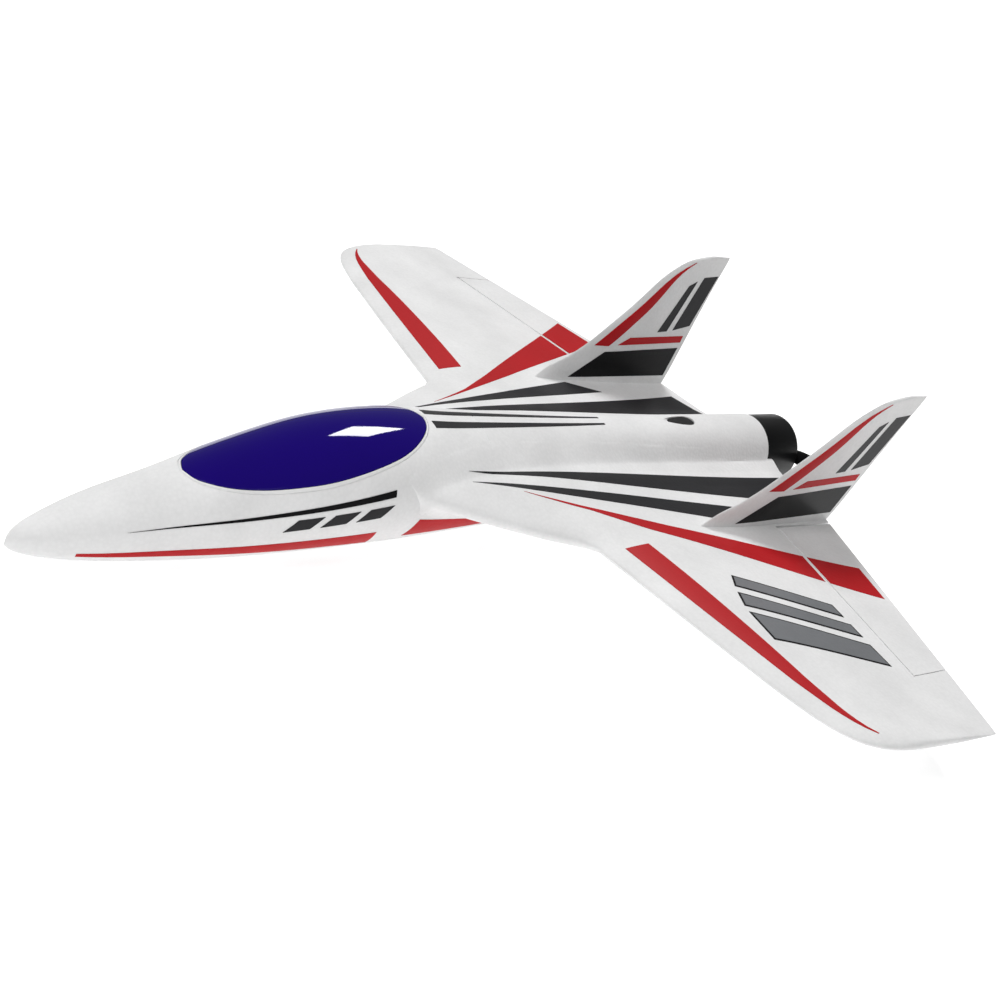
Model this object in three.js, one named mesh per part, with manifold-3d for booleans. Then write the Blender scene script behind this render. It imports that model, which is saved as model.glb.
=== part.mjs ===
// Radio-controlled foam jet with a pusher propeller, built as an assembly of separate closed solids.
//
// Working axes while modelling, in millimetres:
//   x  towards the port (left) wing tip
//   y  station, measured aft from the nose tip
//   z  up, zero on the wing's chord plane at the centre line
// The finished group is pitched so that its flat keel lies level, then centred over its lowest face.

import * as THREE from 'three';
import { mergeVertices } from 'three/addons/utils/BufferGeometryUtils.js';
import Module from 'manifold-3d';

const wasm = await Module();
wasm.setup();

// ---------------------------------------------------------------- driving dimensions

const GAP = 0.3;                       // clearance between neighbouring pieces
const SEAM = 0.15;                     // half of the gap between the two fuselage shells

// Fuselage: [station, half width, top, bottom] of its oval sections.
const HULL = [
  [0, 0.5, -41, -43],
  [3, 5.5, -35.5, -45.5],
  [9, 10.5, -29.8, -47.8],
  [20, 15.8, -23.8, -50.2],
  [50, 25, -10.8, -54],
  [100, 35, 5, -56.5],
  [160, 46, 26, -56.6],
  [220, 53, 43, -54.3],
  [280, 55, 49, -51.7],
  [340, 51, 46, -49.2],
  [400, 45.5, 43.5, -46.6],
  [470, 40, 41, -43.4],
  [560, 35.5, 39, -38.8],
  [640, 33.5, 38, -34.8],
  [705, 33, 37.1, -30.1],
];
const HULL_POINTS = 28;                // points round one oval section
const HULL_STATIONS = [0, 1.5, 3, 6, 9, 14, 20, 34, 50, 75, 100, 130, 160, 190, 220, 250, 280, 310, 340, 370,
  400, 435, 470, 515, 560, 600, 640, 676, 705];
const WALL = 12;                       // foam wall thickness
const CAVITY_STATIONS = [60, 80, 105, 130, 160, 190, 220, 250, 280, 310, 340, 370, 400, 435, 470,
  515, 560, 600, 640, 692];
const FLOOR = 16;                      // height of the equipment bay's floor above the keel

// Keel: a straight line that the model rests on, pitched against the chord plane.
const KEEL_PITCH = THREE.MathUtils.degToRad(2.5);
const KEEL_STATION = 750;
const KEEL_HEIGHT = -29.6;
const SKID = { station: 400, length: 460, width: 16, height: 0.5 };  // raised strip that touches the ground

// Canopy hatch outline: [half width, station], front to rear.
const HATCH = [[0, 115], [11, 119], [18, 126], [26, 139], [33, 158], [39, 186], [42, 214], [40.5, 245],
  [35, 272], [26, 289.5], [13.5, 302], [0, 307]];
const CANOPY_SKIN = 2;
const FRAME_RIM = 2;                   // width of the foam rim left showing round the canopy
const FRAME_WIDTH = 8;                 // how far the frame reaches under the canopy
const FRAME_TOP = 4;                   // frame levels, measured down from the sill line
const FRAME_BOTTOM = 8;
const LEDGE_WIDTH = 4;                 // foam ledge that carries the frame
const MAGNET_RADIUS = 2.5;
const MAGNET_DEPTH = 1.5;
const MAGNET_STATIONS = { front: 116, rear: 304.5 };

// Cooling intake sunk in the top of the rear fuselage.
const INTAKE = { start: 575, end: 616, halfWidth: 7.5, depth: 15 };

// Wing: leading and trailing edge as [x, station, height] of the chord line.
const LEADING_EDGE = [[20, 221, 12], [38, 254, 11], [54, 283, 9.5], [72, 317, 6.5], [85, 340.5, 5],
  [101.5, 369, 4.2], [118, 402, 3.7], [126, 410, 3.9], [233, 424, 7], [305, 434, 9.2], [335, 441, 10],
  [355, 449.5, 10.6], [369, 461, 11], [377, 475, 11.3], [382, 492, 11.5], [385.5, 520, 11.6],
  [391.3, 585, 11.7]];
const TRAILING_EDGE = [[20, 713, 12], [34, 712, 10.5], [46, 710.5, 6.8], [65, 708, 5], [119, 701, 4],
  [391.5, 591, 11.7]];
const WING_SECTIONS = [20, 38, 46, 54, 72, 85, 101.5, 118, 126, 160, 233, 305, 335, 355, 369, 377, 382,
  385.5, 391.3];
const THICKNESS_RATIO = 0.072;         // of the local chord
const REFLEX = 0.07;                   // upward curve of the rear part of the section
const EDGE_THICKNESS = 0.7;            // half thickness of the trailing edge
const SECTION_STEPS = 10;              // points along each side of a wing section

// Elevons: hinge line as [x, station] of its two ends.
const HINGE_ROOT = [116, 626];
const HINGE_TIP = [323, 574.5];
const ELEVON_ROOT = 127;
const ELEVON_TIP = 321.5;
const ELEVON_ROOT_GAP = 2.2;           // the swept hinge slides the elevon's end inboard as it turns
const ELEVON_TIP_GAP = 0.8;
const HINGE_GAP = 0.45;

// Fins: [height, leading edge station, trailing edge station] up the canted fin plane.
const FIN = [[4, 514, 700], [10, 524, 702], [24, 542, 706], [33, 560, 708], [44, 577, 710.5],
  [57, 592, 713.5], [71, 607, 716.5], [85, 622, 720], [100, 636, 723.5], [115, 650, 727.5],
  [127, 665.5, 731], [136, 684, 733.5], [141, 708, 734.5]];
const FIN_X = 119.5;
const FIN_FOOT_HEIGHT = 4;
const FIN_CANT = 0.083;                // outward lean, as a slope
const FIN_HALF_THICKNESS = [3.6, 2.0]; // at the foot and at the tip
const FIN_TAB = { from: 572, to: 628, halfThickness: 1.5, low: -3, high: 16 };

// Carbon tubes that join the wing panels through the fuselage.
const MAIN_SPAR = { station: 470, height: 4, radius: 4, bore: 3, halfLength: 200 };
const REAR_SPAR = { station: 600, height: 3, radius: 2.5, bore: 1.5, halfLength: 95 };

// Propulsion, all on one thrust line.
const THRUST_HEIGHT = 3.5;
const NOZZLE_RADIUS = 32.4;
const NOZZLE_END = 750;
const NOZZLE_SKIRT = 705.3;             // where the nozzle's outer skin meets the foam
const SPIGOT_RADIUS = 28;
const SPIGOT_START = 692;
const MOTOR_RADIUS = 14;
const SHAFT_RADIUS = 1.5;
const PROP_STATION = 761;
const PROP_RADIUS = 70;
const PROP_ROLL = THREE.MathUtils.degToRad(9);
const SCREW_CIRCLE = 9.5;

// Radio gear.
const BATTERY = { length: 105, width: 34, height: 24, station: 190 };
const TRAY = { length: 112, width: 29, height: 2, station: 194 };
const ESC = { length: 52, width: 25, height: 10, station: 318 };
const RECEIVER = { length: 42, width: 22, height: 12, station: 392 };

// Control linkage, laid out in a frame on the hinge axis: along it, aft of it, above it.
const LINKAGE_X = 172;
const SERVO_BACK = 84;                 // servo axis ahead of the hinge axis
const SERVO_DROP = 3.2;                // and below it
const ARM_LENGTH = 14;
const PIN_RADIUS = 0.8;
const PIVOT_HOLE = 1.1;
const SERVO = { length: 23, width: 12, height: 22, axisFromEnd: 6 };

// ---------------------------------------------------------------- colours

const FOAM = 0xdedede;
const CANOPY_BLUE = 0x1c0082;
const BLACK = 0x151515;
const CARBON = 0x26282b;
const STEEL = 0x9a9da1;
const ALLOY = 0xb4b7bb;
const COPPER = 0x8a5a34;
const PLYWOOD = 0xb98c58;
const BATTERY_BLUE = 0x24406e;
const HORN_WHITE = 0xf1f1ee;

// ---------------------------------------------------------------- small geometry helpers

/** Smooth function through [x, value] pairs taken from a table. */
function through(table, column) {
  const positions = Float64Array.from(table, (row) => row[0]);
  const values = Float64Array.from(table, (row) => row[column]);
  const curve = new THREE.CubicInterpolant(positions, values, 1, new Float64Array(1));
  return (at) => curve.evaluate(THREE.MathUtils.clamp(at, positions[0], positions.at(-1)))[0];
}

/** Straight-line function through [x, value] pairs taken from a table. */
function between(table, column) {
  const positions = Float64Array.from(table, (row) => row[0]);
  const values = Float64Array.from(table, (row) => row[column]);
  const curve = new THREE.LinearInterpolant(positions, values, 1, new Float64Array(1));
  return (at) => curve.evaluate(THREE.MathUtils.clamp(at, positions[0], positions.at(-1)))[0];
}

function signedVolume(geometry) {
  const [a, b, c] = [new THREE.Vector3(), new THREE.Vector3(), new THREE.Vector3()];
  const points = geometry.attributes.position;
  const index = geometry.index.array;
  let volume = 0;
  for (let i = 0; i < index.length; i += 3) {
    a.fromBufferAttribute(points, index[i]);
    b.fromBufferAttribute(points, index[i + 1]);
    c.fromBufferAttribute(points, index[i + 2]);
    volume += a.dot(b.cross(c)) / 6;
  }
  return volume;
}

function flipFaces(geometry) {
  const index = geometry.index.array;
  for (let i = 0; i < index.length; i += 3) {
    [index[i], index[i + 1]] = [index[i + 1], index[i]];
  }
  return geometry;
}

/** Closed body through a row of convex rings that all have the same number of points. */
function loft(rings) {
  const count = rings[0].length;
  const index = [];
  for (let ring = 0; ring < rings.length - 1; ring += 1) {
    for (let i = 0; i < count; i += 1) {
      const a = ring * count + i;
      const b = ring * count + ((i + 1) % count);
      index.push(a, b, b + count, a, b + count, a + count);
    }
  }
  const last = (rings.length - 1) * count;
  for (let i = 1; i < count - 1; i += 1) {
    index.push(0, i + 1, i, last, last + i, last + i + 1);
  }
  const geometry = new THREE.BufferGeometry();
  geometry.setAttribute('position', new THREE.Float32BufferAttribute(rings.flat(2), 3));
  geometry.setIndex(index);
  return signedVolume(geometry) < 0 ? flipFaces(geometry) : geometry;
}

/** The geometry as a solid that can be cut and joined. */
function solid(geometry) {
  const bare = geometry.clone();
  bare.deleteAttribute('normal');
  bare.deleteAttribute('uv');
  const welded = mergeVertices(bare, 1e-4);
  return new wasm.Manifold(new wasm.Mesh({
    numProp: 3,
    vertProperties: Float32Array.from(welded.attributes.position.array),
    triVerts: Uint32Array.from(welded.index.array),
  }));
}

function shapeOf(body) {
  const mesh = body.getMesh();
  const geometry = new THREE.BufferGeometry();
  geometry.setAttribute('position', new THREE.Float32BufferAttribute(mesh.vertProperties, 3));
  geometry.setIndex(Array.from(mesh.triVerts));
  return geometry;
}

function join(...bodies) {
  return bodies.reduce((all, next) => all.add(next));
}

function cut(body, ...tools) {
  return tools.reduce((rest, tool) => rest.subtract(tool), body);
}

function box(width, length, height, x = 0, y = 0, z = 0) {
  return new THREE.BoxGeometry(width, length, height).translate(x, y, z);
}

/** Round bar along x, from one x to another, about the axis at (y, z). */
function barX(radius, from, to, y = 0, z = 0, sides = 24) {
  return new THREE.CylinderGeometry(radius, radius, to - from, sides)
    .rotateZ(Math.PI / 2)
    .translate((from + to) / 2, y, z);
}

/** Round bar along the thrust line, between two stations. */
function barY(radius, from, to, x = 0, z = THRUST_HEIGHT, sides = 24) {
  return new THREE.CylinderGeometry(radius, radius, to - from, sides).translate(x, (from + to) / 2, z);
}

/** Ring turned about the thrust line from a closed [radius, station] outline. */
function turned(outline, sides = 32) {
  const points = [...outline, outline[0]].map(([radius, station]) => new THREE.Vector2(radius, station));
  const geometry = new THREE.LatheGeometry(points, sides).translate(0, 0, THRUST_HEIGHT);
  geometry.deleteAttribute('normal');
  geometry.deleteAttribute('uv');
  const welded = mergeVertices(geometry, 1e-4);
  return signedVolume(welded) < 0 ? flipFaces(welded) : welded;
}

/** Plan outline of [x, y] points, extruded between two heights. */
function slab(outline, low, high) {
  const shape = new THREE.Shape(outline.map(([x, y]) => new THREE.Vector2(x, y)));
  return new THREE.ExtrudeGeometry(shape, { depth: high - low, bevelEnabled: false }).translate(0, 0, low);
}

/** The starboard twin of a port-side geometry. */
function mirrored(geometry) {
  const twin = geometry.index ? geometry.clone() : mergeVertices(geometry.clone(), 1e-4);
  return flipFaces(twin.scale(-1, 1, 1));
}

const parts = new THREE.Group();

function part(name, body, colour, roughness = 0.6, metalness = 0) {
  const geometry = body instanceof THREE.BufferGeometry ? body : shapeOf(body);
  const material = new THREE.MeshStandardMaterial({ color: colour, roughness, metalness });
  const mesh = new THREE.Mesh(geometry, material);
  mesh.name = name;
  parts.add(mesh);
}

/** Adds a port-side piece and its starboard twin. */
function pair(name, body, colour, roughness, metalness) {
  const geometry = body instanceof THREE.BufferGeometry ? body : shapeOf(body);
  part(`${name}_left`, geometry, colour, roughness, metalness);
  part(`${name}_right`, mirrored(geometry), colour, roughness, metalness);
}

// ---------------------------------------------------------------- fuselage

const halfWidthAt = through(HULL, 1);
const topAt = through(HULL, 2);
const bottomAt = through(HULL, 3);

function keelAt(station) {
  return KEEL_HEIGHT + (station - KEEL_STATION) * Math.tan(KEEL_PITCH);
}

/** Oval section, inset from the skin, and flattened where it would pass below the floor level. */
function hullRing(station, inset, floor = 0) {
  const width = halfWidthAt(station) - inset;
  const top = topAt(station) - inset;
  const bottom = bottomAt(station) + inset;
  const lowest = keelAt(station) + floor;
  const ring = [];
  for (let i = 0; i < HULL_POINTS; i += 1) {
    const angle = (2 * Math.PI * i) / HULL_POINTS;
    const height = (top + bottom) / 2 + ((top - bottom) / 2) * Math.cos(angle);
    ring.push([width * Math.sin(angle), station, Math.max(height, lowest)]);
  }
  return ring;
}

/** Height of the fuselage skin above a point beside the centre line. */
function skinAt(station, x) {
  const centre = (topAt(station) + bottomAt(station)) / 2;
  const rise = (topAt(station) - bottomAt(station)) / 2;
  return centre + rise * Math.sqrt(Math.max(0, 1 - (x / halfWidthAt(station)) ** 2));
}

function hullBody(inset = 0) {
  return solid(loft(HULL_STATIONS.map((station) => hullRing(station, inset, SKID.height))));
}

/** Shallow strip moulded under the keel, which the model slides and stands on. */
function skid() {
  const depth = 4;
  const strip = box(SKID.width, SKID.length, depth, 0, 0, depth / 2);
  return solid(strip.rotateX(KEEL_PITCH).translate(0, SKID.station, keelAt(SKID.station)));
}

/** The fuselage grown by the clearance and run on past its end, for trimming the wing roots. */
function hullClearance() {
  const rings = HULL_STATIONS.map((station) => hullRing(station, -GAP));
  const end = rings.at(-1).map(([x, , z]) => [x, KEEL_STATION + 20, z]);
  return solid(loft([...rings, end]));
}

function hullCavity() {
  return solid(loft(CAVITY_STATIONS.map((station) => hullRing(station, WALL, FLOOR))));
}

/** Half of the hatch outline moved outwards by an offset, as [half width, station, sill height]. */
function hatchOutline(offset) {
  const curve = new THREE.CatmullRomCurve3(HATCH.map(([x, y]) => new THREE.Vector3(x, y, 0)), false, 'centripetal');
  return curve.getPoints(18).map((point, i, all) => {
    const tangent = curve.getTangent(i / (all.length - 1));
    const x = point.x + offset * tangent.y;
    const y = point.y - offset * tangent.x;
    return [Math.max(x, 0.2), y, skinAt(point.y, point.x)];
  });
}

/** Block with the hatch's outline, between two levels measured from the sill line. */
function hatchBlock(offset, low, high) {
  const rows = hatchOutline(offset);
  rows[0][1] = HATCH[0][1] - offset;
  rows.at(-1)[1] = HATCH.at(-1)[1] + offset;
  const inOrder = rows.filter(([, y], i) => i === 0 || y > rows[i - 1][1] + 0.05);
  return solid(loft(inOrder.map(([x, y, sill]) => [
    [-x, y, sill + low], [x, y, sill + low], [x, y, sill + high], [-x, y, sill + high],
  ])));
}

const sillAt = between(hatchOutline(0).map(([, y, sill]) => [y, sill]), 1);

function magnetSocket(station, level, grow) {
  const radius = MAGNET_RADIUS + grow;
  const depth = MAGNET_DEPTH + grow;
  return new THREE.CylinderGeometry(radius, radius, 2 * depth, 20)
    .rotateX(Math.PI / 2)
    .translate(0, station, sillAt(station) + level);
}

/** A ramp that sinks aft into the rear deck. */
function intakeRamp() {
  const deck = topAt(INTAKE.end);
  const side = [[INTAKE.start, topAt(INTAKE.start) + 0.2], [INTAKE.end, deck - INTAKE.depth],
    [INTAKE.end, deck + 10], [INTAKE.start, deck + 10]];
  return solid(loft([-INTAKE.halfWidth, INTAKE.halfWidth].map((x) => side.map(([y, z]) => [x, y, z]))));
}

function sparHoles() {
  return [MAIN_SPAR, REAR_SPAR].map((spar) => solid(
    barX(spar.radius + GAP, -spar.halfLength - 1, spar.halfLength + 1, spar.station, spar.height)));
}

function fuselageShells() {
  const socket = solid(barY(SPIGOT_RADIUS + GAP, SPIGOT_START - GAP, KEEL_STATION, 0, THRUST_HEIGHT, 32));
  const whole = cut(
    join(hullBody(), skid()),
    hullCavity(),
    hatchBlock(FRAME_RIM + GAP, -FRAME_BOTTOM - GAP, 60),
    hatchBlock(-LEDGE_WIDTH, -45, 60),
    solid(magnetSocket(MAGNET_STATIONS.front, -FRAME_BOTTOM - GAP, GAP)),
    solid(magnetSocket(MAGNET_STATIONS.rear, -FRAME_BOTTOM - GAP, GAP)),
    intakeRamp(),
    socket,
    ...sparHoles(),
  );
  const portSide = solid(box(200, 900, 400, 100 + SEAM, 400, 0));
  const starboardSide = solid(box(200, 900, 400, -100 - SEAM, 400, 0));
  part('fuselage_left', whole.intersect(portSide), FOAM, 0.75);
  part('fuselage_right', whole.intersect(starboardSide), FOAM, 0.75);
}

// ---------------------------------------------------------------- canopy hatch

function canopy() {
  const skin = cut(hullBody(), hullBody(CANOPY_SKIN)).intersect(hatchBlock(0, -10, 60));
  part('canopy_shell', skin, CANOPY_BLUE, 0.12);
}

function canopyFrame() {
  const rim = hullBody().intersect(hatchBlock(FRAME_RIM, -FRAME_BOTTOM, 60));
  const skinSpace = cut(hatchBlock(GAP, -60, 70), hullBody(CANOPY_SKIN + GAP));
  const frame = cut(
    rim,
    skinSpace,
    hatchBlock(GAP, -FRAME_TOP, 70),
    hatchBlock(-FRAME_WIDTH, -60, 70),
    solid(magnetSocket(MAGNET_STATIONS.front, -FRAME_BOTTOM, GAP)),
    solid(magnetSocket(MAGNET_STATIONS.rear, -FRAME_BOTTOM, GAP)),
  );
  part('canopy_frame', frame, FOAM, 0.75);
}

function magnets() {
  for (const [end, station] of Object.entries(MAGNET_STATIONS)) {
    const disc = new THREE.CylinderGeometry(MAGNET_RADIUS, MAGNET_RADIUS, MAGNET_DEPTH, 20).rotateX(Math.PI / 2);
    const seat = sillAt(station) - FRAME_BOTTOM;
    part(`canopy_magnet_${end}`, disc.clone().translate(0, station, seat + MAGNET_DEPTH / 2), STEEL, 0.3, 1);
    part(`fuselage_magnet_${end}`, disc.translate(0, station, seat - GAP - MAGNET_DEPTH / 2), STEEL, 0.3, 1);
  }
}

// ---------------------------------------------------------------- wing panels

const leadAt = between(LEADING_EDGE, 1);
const leadHeightAt = between(LEADING_EDGE, 2);
const trailAt = between(TRAILING_EDGE, 1);
const trailHeightAt = between(TRAILING_EDGE, 2);

/** Middle height and half thickness of the wing, at a fraction of the chord behind the leading edge. */
function wingAt(x, fraction) {
  const s = fraction;
  const chord = trailAt(x) - leadAt(x);
  const spread = 5 * (0.2969 * Math.sqrt(s) - 0.126 * s - 0.3516 * s ** 2 + 0.2843 * s ** 3 - 0.1015 * s ** 4);
  const middle = THREE.MathUtils.lerp(leadHeightAt(x), trailHeightAt(x), s) - REFLEX * chord * s ** 2 * (1 - s);
  return { middle, half: spread * THICKNESS_RATIO * chord + EDGE_THICKNESS * Math.min(1, 6 * s) };
}

function wingRing(x, grow = 0) {
  const lead = leadAt(x) - grow;
  const trail = trailAt(x) + grow;
  const top = [];
  const underside = [];
  for (let i = 1; i <= SECTION_STEPS; i += 1) {
    const fraction = (1 - Math.cos((Math.PI * i) / SECTION_STEPS)) / 2;
    const { middle, half } = wingAt(x, fraction);
    const station = THREE.MathUtils.lerp(lead, trail, fraction);
    top.push([x, station, middle + half + grow]);
    underside.unshift([x, station, middle - half - grow]);
  }
  return [[x, lead, leadHeightAt(x)], ...top, ...underside];
}

function wingBody(grow = 0) {
  return solid(loft(WING_SECTIONS.map((x) => wingRing(x, grow))));
}

function hingeStationAt(x) {
  return THREE.MathUtils.mapLinear(x, HINGE_ROOT[0], HINGE_TIP[0], HINGE_ROOT[1], HINGE_TIP[1]);
}

/** Height of the hinge axis and the wing's half thickness at one of its ends. */
function hingeEnd([x, station]) {
  return { x, station, ...wingAt(x, (station - leadAt(x)) / (trailAt(x) - leadAt(x))) };
}

const hingeRoot = hingeEnd(HINGE_ROOT);
const hingeTip = hingeEnd(HINGE_TIP);

/** Point on the hinge axis above a wing position, as a vector. */
function hingePoint(x) {
  const height = THREE.MathUtils.mapLinear(x, hingeRoot.x, hingeTip.x, hingeRoot.middle, hingeTip.middle);
  return new THREE.Vector3(x, hingeStationAt(x), height);
}

/** The frame that the linkage is laid out in: along the hinge axis, aft of it, above it. */
function hingeFrame(x) {
  const along = hingePoint(HINGE_TIP[0]).sub(hingePoint(HINGE_ROOT[0])).normalize();
  const above = new THREE.Vector3(0, 0, 1).addScaledVector(along, -along.z).normalize();
  const aft = new THREE.Vector3().crossVectors(above, along);
  return new THREE.Matrix4().makeBasis(along, aft, above).setPosition(hingePoint(x));
}

/** Tapered round bar on the hinge axis, a little inside or outside the wing's own surface, with ends square to x. */
function hingeBar(fromX, toX, grow) {
  const radiusAt = (x) => THREE.MathUtils.mapLinear(x, hingeRoot.x, hingeTip.x, hingeRoot.half, hingeTip.half);
  const rings = [fromX - 6, toX + 6].map((x) => {
    const frame = hingeFrame(x);
    const radius = radiusAt(x) + grow;
    return Array.from({ length: 24 }, (_, i) => {
      const angle = (2 * Math.PI * i) / 24;
      const point = new THREE.Vector3(0, radius * Math.cos(angle), radius * Math.sin(angle));
      return point.applyMatrix4(frame).toArray();
    });
  });
  return solid(loft(rings)).intersect(solid(box(toX - fromX, 300, 100, (fromX + toX) / 2, 600)));
}

function elevonZone(rootX, tipX) {
  return solid(slab([[rootX, hingeStationAt(rootX)], [tipX, hingeStationAt(tipX)], [tipX, 660], [rootX, 760]], -60, 60));
}

function elevonSpace() {
  const rootX = ELEVON_ROOT - ELEVON_ROOT_GAP;
  const tipX = ELEVON_TIP + ELEVON_TIP_GAP;
  return join(elevonZone(rootX, tipX), hingeBar(rootX, tipX, HINGE_GAP));
}

function elevonBody() {
  const nose = hingeBar(ELEVON_ROOT, ELEVON_TIP, -0.1);
  return join(wingBody().intersect(elevonZone(ELEVON_ROOT, ELEVON_TIP)), nose);
}

function wingPanels(spaces) {
  const panel = cut(
    wingBody(),
    hullClearance(),
    elevonSpace(),
    finTab(GAP),
    ...spaces,
    ...sparHoles(),
  );
  pair('wing', panel, FOAM, 0.75);
  pair('elevon', elevonBody(), FOAM, 0.75);
}

// ---------------------------------------------------------------- fins

function finRing([height, lead, trail]) {
  const x = FIN_X + FIN_CANT * (height - FIN_FOOT_HEIGHT);
  const [foot, tip] = FIN_HALF_THICKNESS;
  const half = THREE.MathUtils.mapLinear(height, FIN[0][0], FIN.at(-1)[0], foot, tip);
  const port = [];
  const starboard = [];
  for (let i = 1; i <= 7; i += 1) {
    const s = (1 - Math.cos((Math.PI * i) / 7)) / 2;
    const bulge = half * Math.min(1, Math.sqrt(6 * s)) * (1 - 0.82 * Math.max(0, (s - 0.35) / 0.65));
    const station = THREE.MathUtils.lerp(lead, trail, s);
    port.push([x + bulge, station, height]);
    starboard.unshift([x - bulge, station, height]);
  }
  return [[x, lead, height], ...port, ...starboard];
}

function finTab(grow = 0) {
  return solid(box(
    2 * (FIN_TAB.halfThickness + grow),
    FIN_TAB.to - FIN_TAB.from + 2 * grow,
    FIN_TAB.high - FIN_TAB.low + 2 * grow,
    FIN_X + 0.3,
    (FIN_TAB.from + FIN_TAB.to) / 2,
    (FIN_TAB.high + FIN_TAB.low) / 2,
  ));
}

function fins() {
  const blade = cut(solid(loft(FIN.map(finRing))), wingBody(GAP));
  pair('fin', join(blade, finTab()), FOAM, 0.75);
}

function spars() {
  const tube = ({ station, height, radius, bore, halfLength }) => cut(
    solid(barX(radius, -halfLength, halfLength, station, height)),
    solid(barX(bore, -halfLength - 1, halfLength + 1, station, height, 16)),
  );
  part('main_spar', tube(MAIN_SPAR), CARBON, 0.4);
  part('rear_spar', tube(REAR_SPAR), CARBON, 0.4);
}

// ---------------------------------------------------------------- nozzle, motor and propeller

/** The same solid repeated on the motor's screw circle. */
function onScrewCircle(makeBody) {
  return [45, 135, 225, 315].map((degrees) => {
    const angle = THREE.MathUtils.degToRad(degrees);
    return makeBody(SCREW_CIRCLE * Math.cos(angle), THRUST_HEIGHT + SCREW_CIRCLE * Math.sin(angle));
  });
}

function nozzle() {
  const inner = SPIGOT_RADIUS - 2;
  part('nozzle', turned([
    [inner, SPIGOT_START], [SPIGOT_RADIUS, SPIGOT_START], [SPIGOT_RADIUS, NOZZLE_SKIRT],
    [NOZZLE_RADIUS - 0.4, NOZZLE_SKIRT], [NOZZLE_RADIUS, NOZZLE_SKIRT + 1.7], [NOZZLE_RADIUS, NOZZLE_END - 2],
    [NOZZLE_RADIUS - 0.8, NOZZLE_END], [NOZZLE_RADIUS - 2.4, NOZZLE_END], [NOZZLE_RADIUS - 2.4, 716],
    [inner, 709],
  ]), BLACK, 0.45);
}

/** Round plate with a boss, lightening holes and screw holes, seated in the nozzle's spigot. */
function motorMount() {
  const vents = [0, 90, 180, 270].map((degrees) => {
    const angle = THREE.MathUtils.degToRad(degrees);
    return solid(barY(5, 700, 730, 18 * Math.cos(angle), THRUST_HEIGHT + 18 * Math.sin(angle), 14));
  });
  part('motor_mount', cut(
    solid(barY(SPIGOT_RADIUS - 2 - GAP, 705, 708.5, 0, THRUST_HEIGHT, 32)),
    solid(barY(4, 700, 712)),
    ...vents,
    ...onScrewCircle((x, z) => solid(barY(1.8, 700, 712, x, z, 16))),
  ), BLACK, 0.5);
}

function motorScrews() {
  onScrewCircle((x, z) => join(solid(barY(1.5, 704, 713.5, x, z, 16)), solid(barY(2.7, 702.7, 704.7, x, z, 16))))
    .forEach((screw, i) => part(`motor_screw_${i + 1}`, screw, STEEL, 0.35, 1));
}

/** Motor base with its bearing tube and a toothed stator. */
function motorStator() {
  const teeth = 9;
  const outline = [];
  for (let i = 0; i < teeth; i += 1) {
    for (const [radius, turn] of [[11.8, -0.36], [11.8, 0.36], [6, 0.36], [6, 0.64]]) {
      const angle = (2 * Math.PI * (i + turn)) / teeth;
      outline.push([radius * Math.cos(angle), radius * Math.sin(angle)]);
    }
  }
  const stack = slab(outline, 0, 13).rotateX(Math.PI / 2).translate(0, 735, THRUST_HEIGHT);
  part('motor_stator', cut(
    join(solid(barY(13, 709, 712)), solid(barY(9, 711, 715)), solid(barY(7, 712, 736)), solid(stack)),
    solid(barY(SHAFT_RADIUS + GAP, 700, 740, 0, THRUST_HEIGHT, 16)),
    ...onScrewCircle((x, z) => solid(barY(1.8, 700, 716, x, z, 16))),
  ), COPPER, 0.5, 0.6);
}

/** Turning outer can of the motor, with windows in its end. */
function motorBell() {
  const can = turned([
    [12.6, 718], [MOTOR_RADIUS, 718], [MOTOR_RADIUS, 738], [MOTOR_RADIUS - 2, 741], [4.5, 742.5],
    [SHAFT_RADIUS + GAP, 742.5], [SHAFT_RADIUS + GAP, 739], [12.6, 738],
  ], 28);
  const windows = Array.from({ length: 6 }, (_, i) => {
    const angle = (Math.PI * i) / 3;
    return solid(barY(2.3, 735, 745, 8 * Math.cos(angle), THRUST_HEIGHT + 8 * Math.sin(angle), 8));
  });
  part('motor_bell', cut(solid(can), ...windows), ALLOY, 0.35, 1);
}

/** Collet cone with a flange for the propeller and a stud for its nut. */
function propAdapter() {
  part('prop_adapter', turned([
    [SHAFT_RADIUS + GAP, 744], [4.6, 744], [5.6, 750], [7, 754], [7, 757], [2.5, 757], [2.5, 771],
    [2, 771.5], [0.6, 771.5], [0.6, 754], [SHAFT_RADIUS + GAP, 754],
  ], 20), ALLOY, 0.3, 1);
  part('motor_shaft', barY(SHAFT_RADIUS, 710, 753.5, 0, THRUST_HEIGHT, 16), STEEL, 0.3, 1);
}

/** One blade as twisted flat-bottomed sections, running out along +x from the hub. */
function blade() {
  const sections = [[4, 7, 4.6, 48], [12, 9, 3.6, 42], [24, 13, 2.6, 33], [38, 14.5, 2, 25], [52, 12.5, 1.6, 19],
    [63, 8.5, 1.2, 16], [PROP_RADIUS, 3, 0.8, 14]];
  return solid(loft(sections.map(([radius, chord, thickness, twist]) => {
    const angle = THREE.MathUtils.degToRad(twist);
    const outline = [[-0.5, 0], [-0.3, 0.8], [0, 1], [0.3, 0.6], [0.5, 0], [0.2, -0.35], [-0.3, -0.35]];
    return outline.map(([across, up]) => {
      const u = across * chord;
      const v = (up * thickness) / 1.35;
      return [radius, u * Math.sin(angle) - v * Math.cos(angle), u * Math.cos(angle) + v * Math.sin(angle)];
    });
  })));
}

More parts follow.
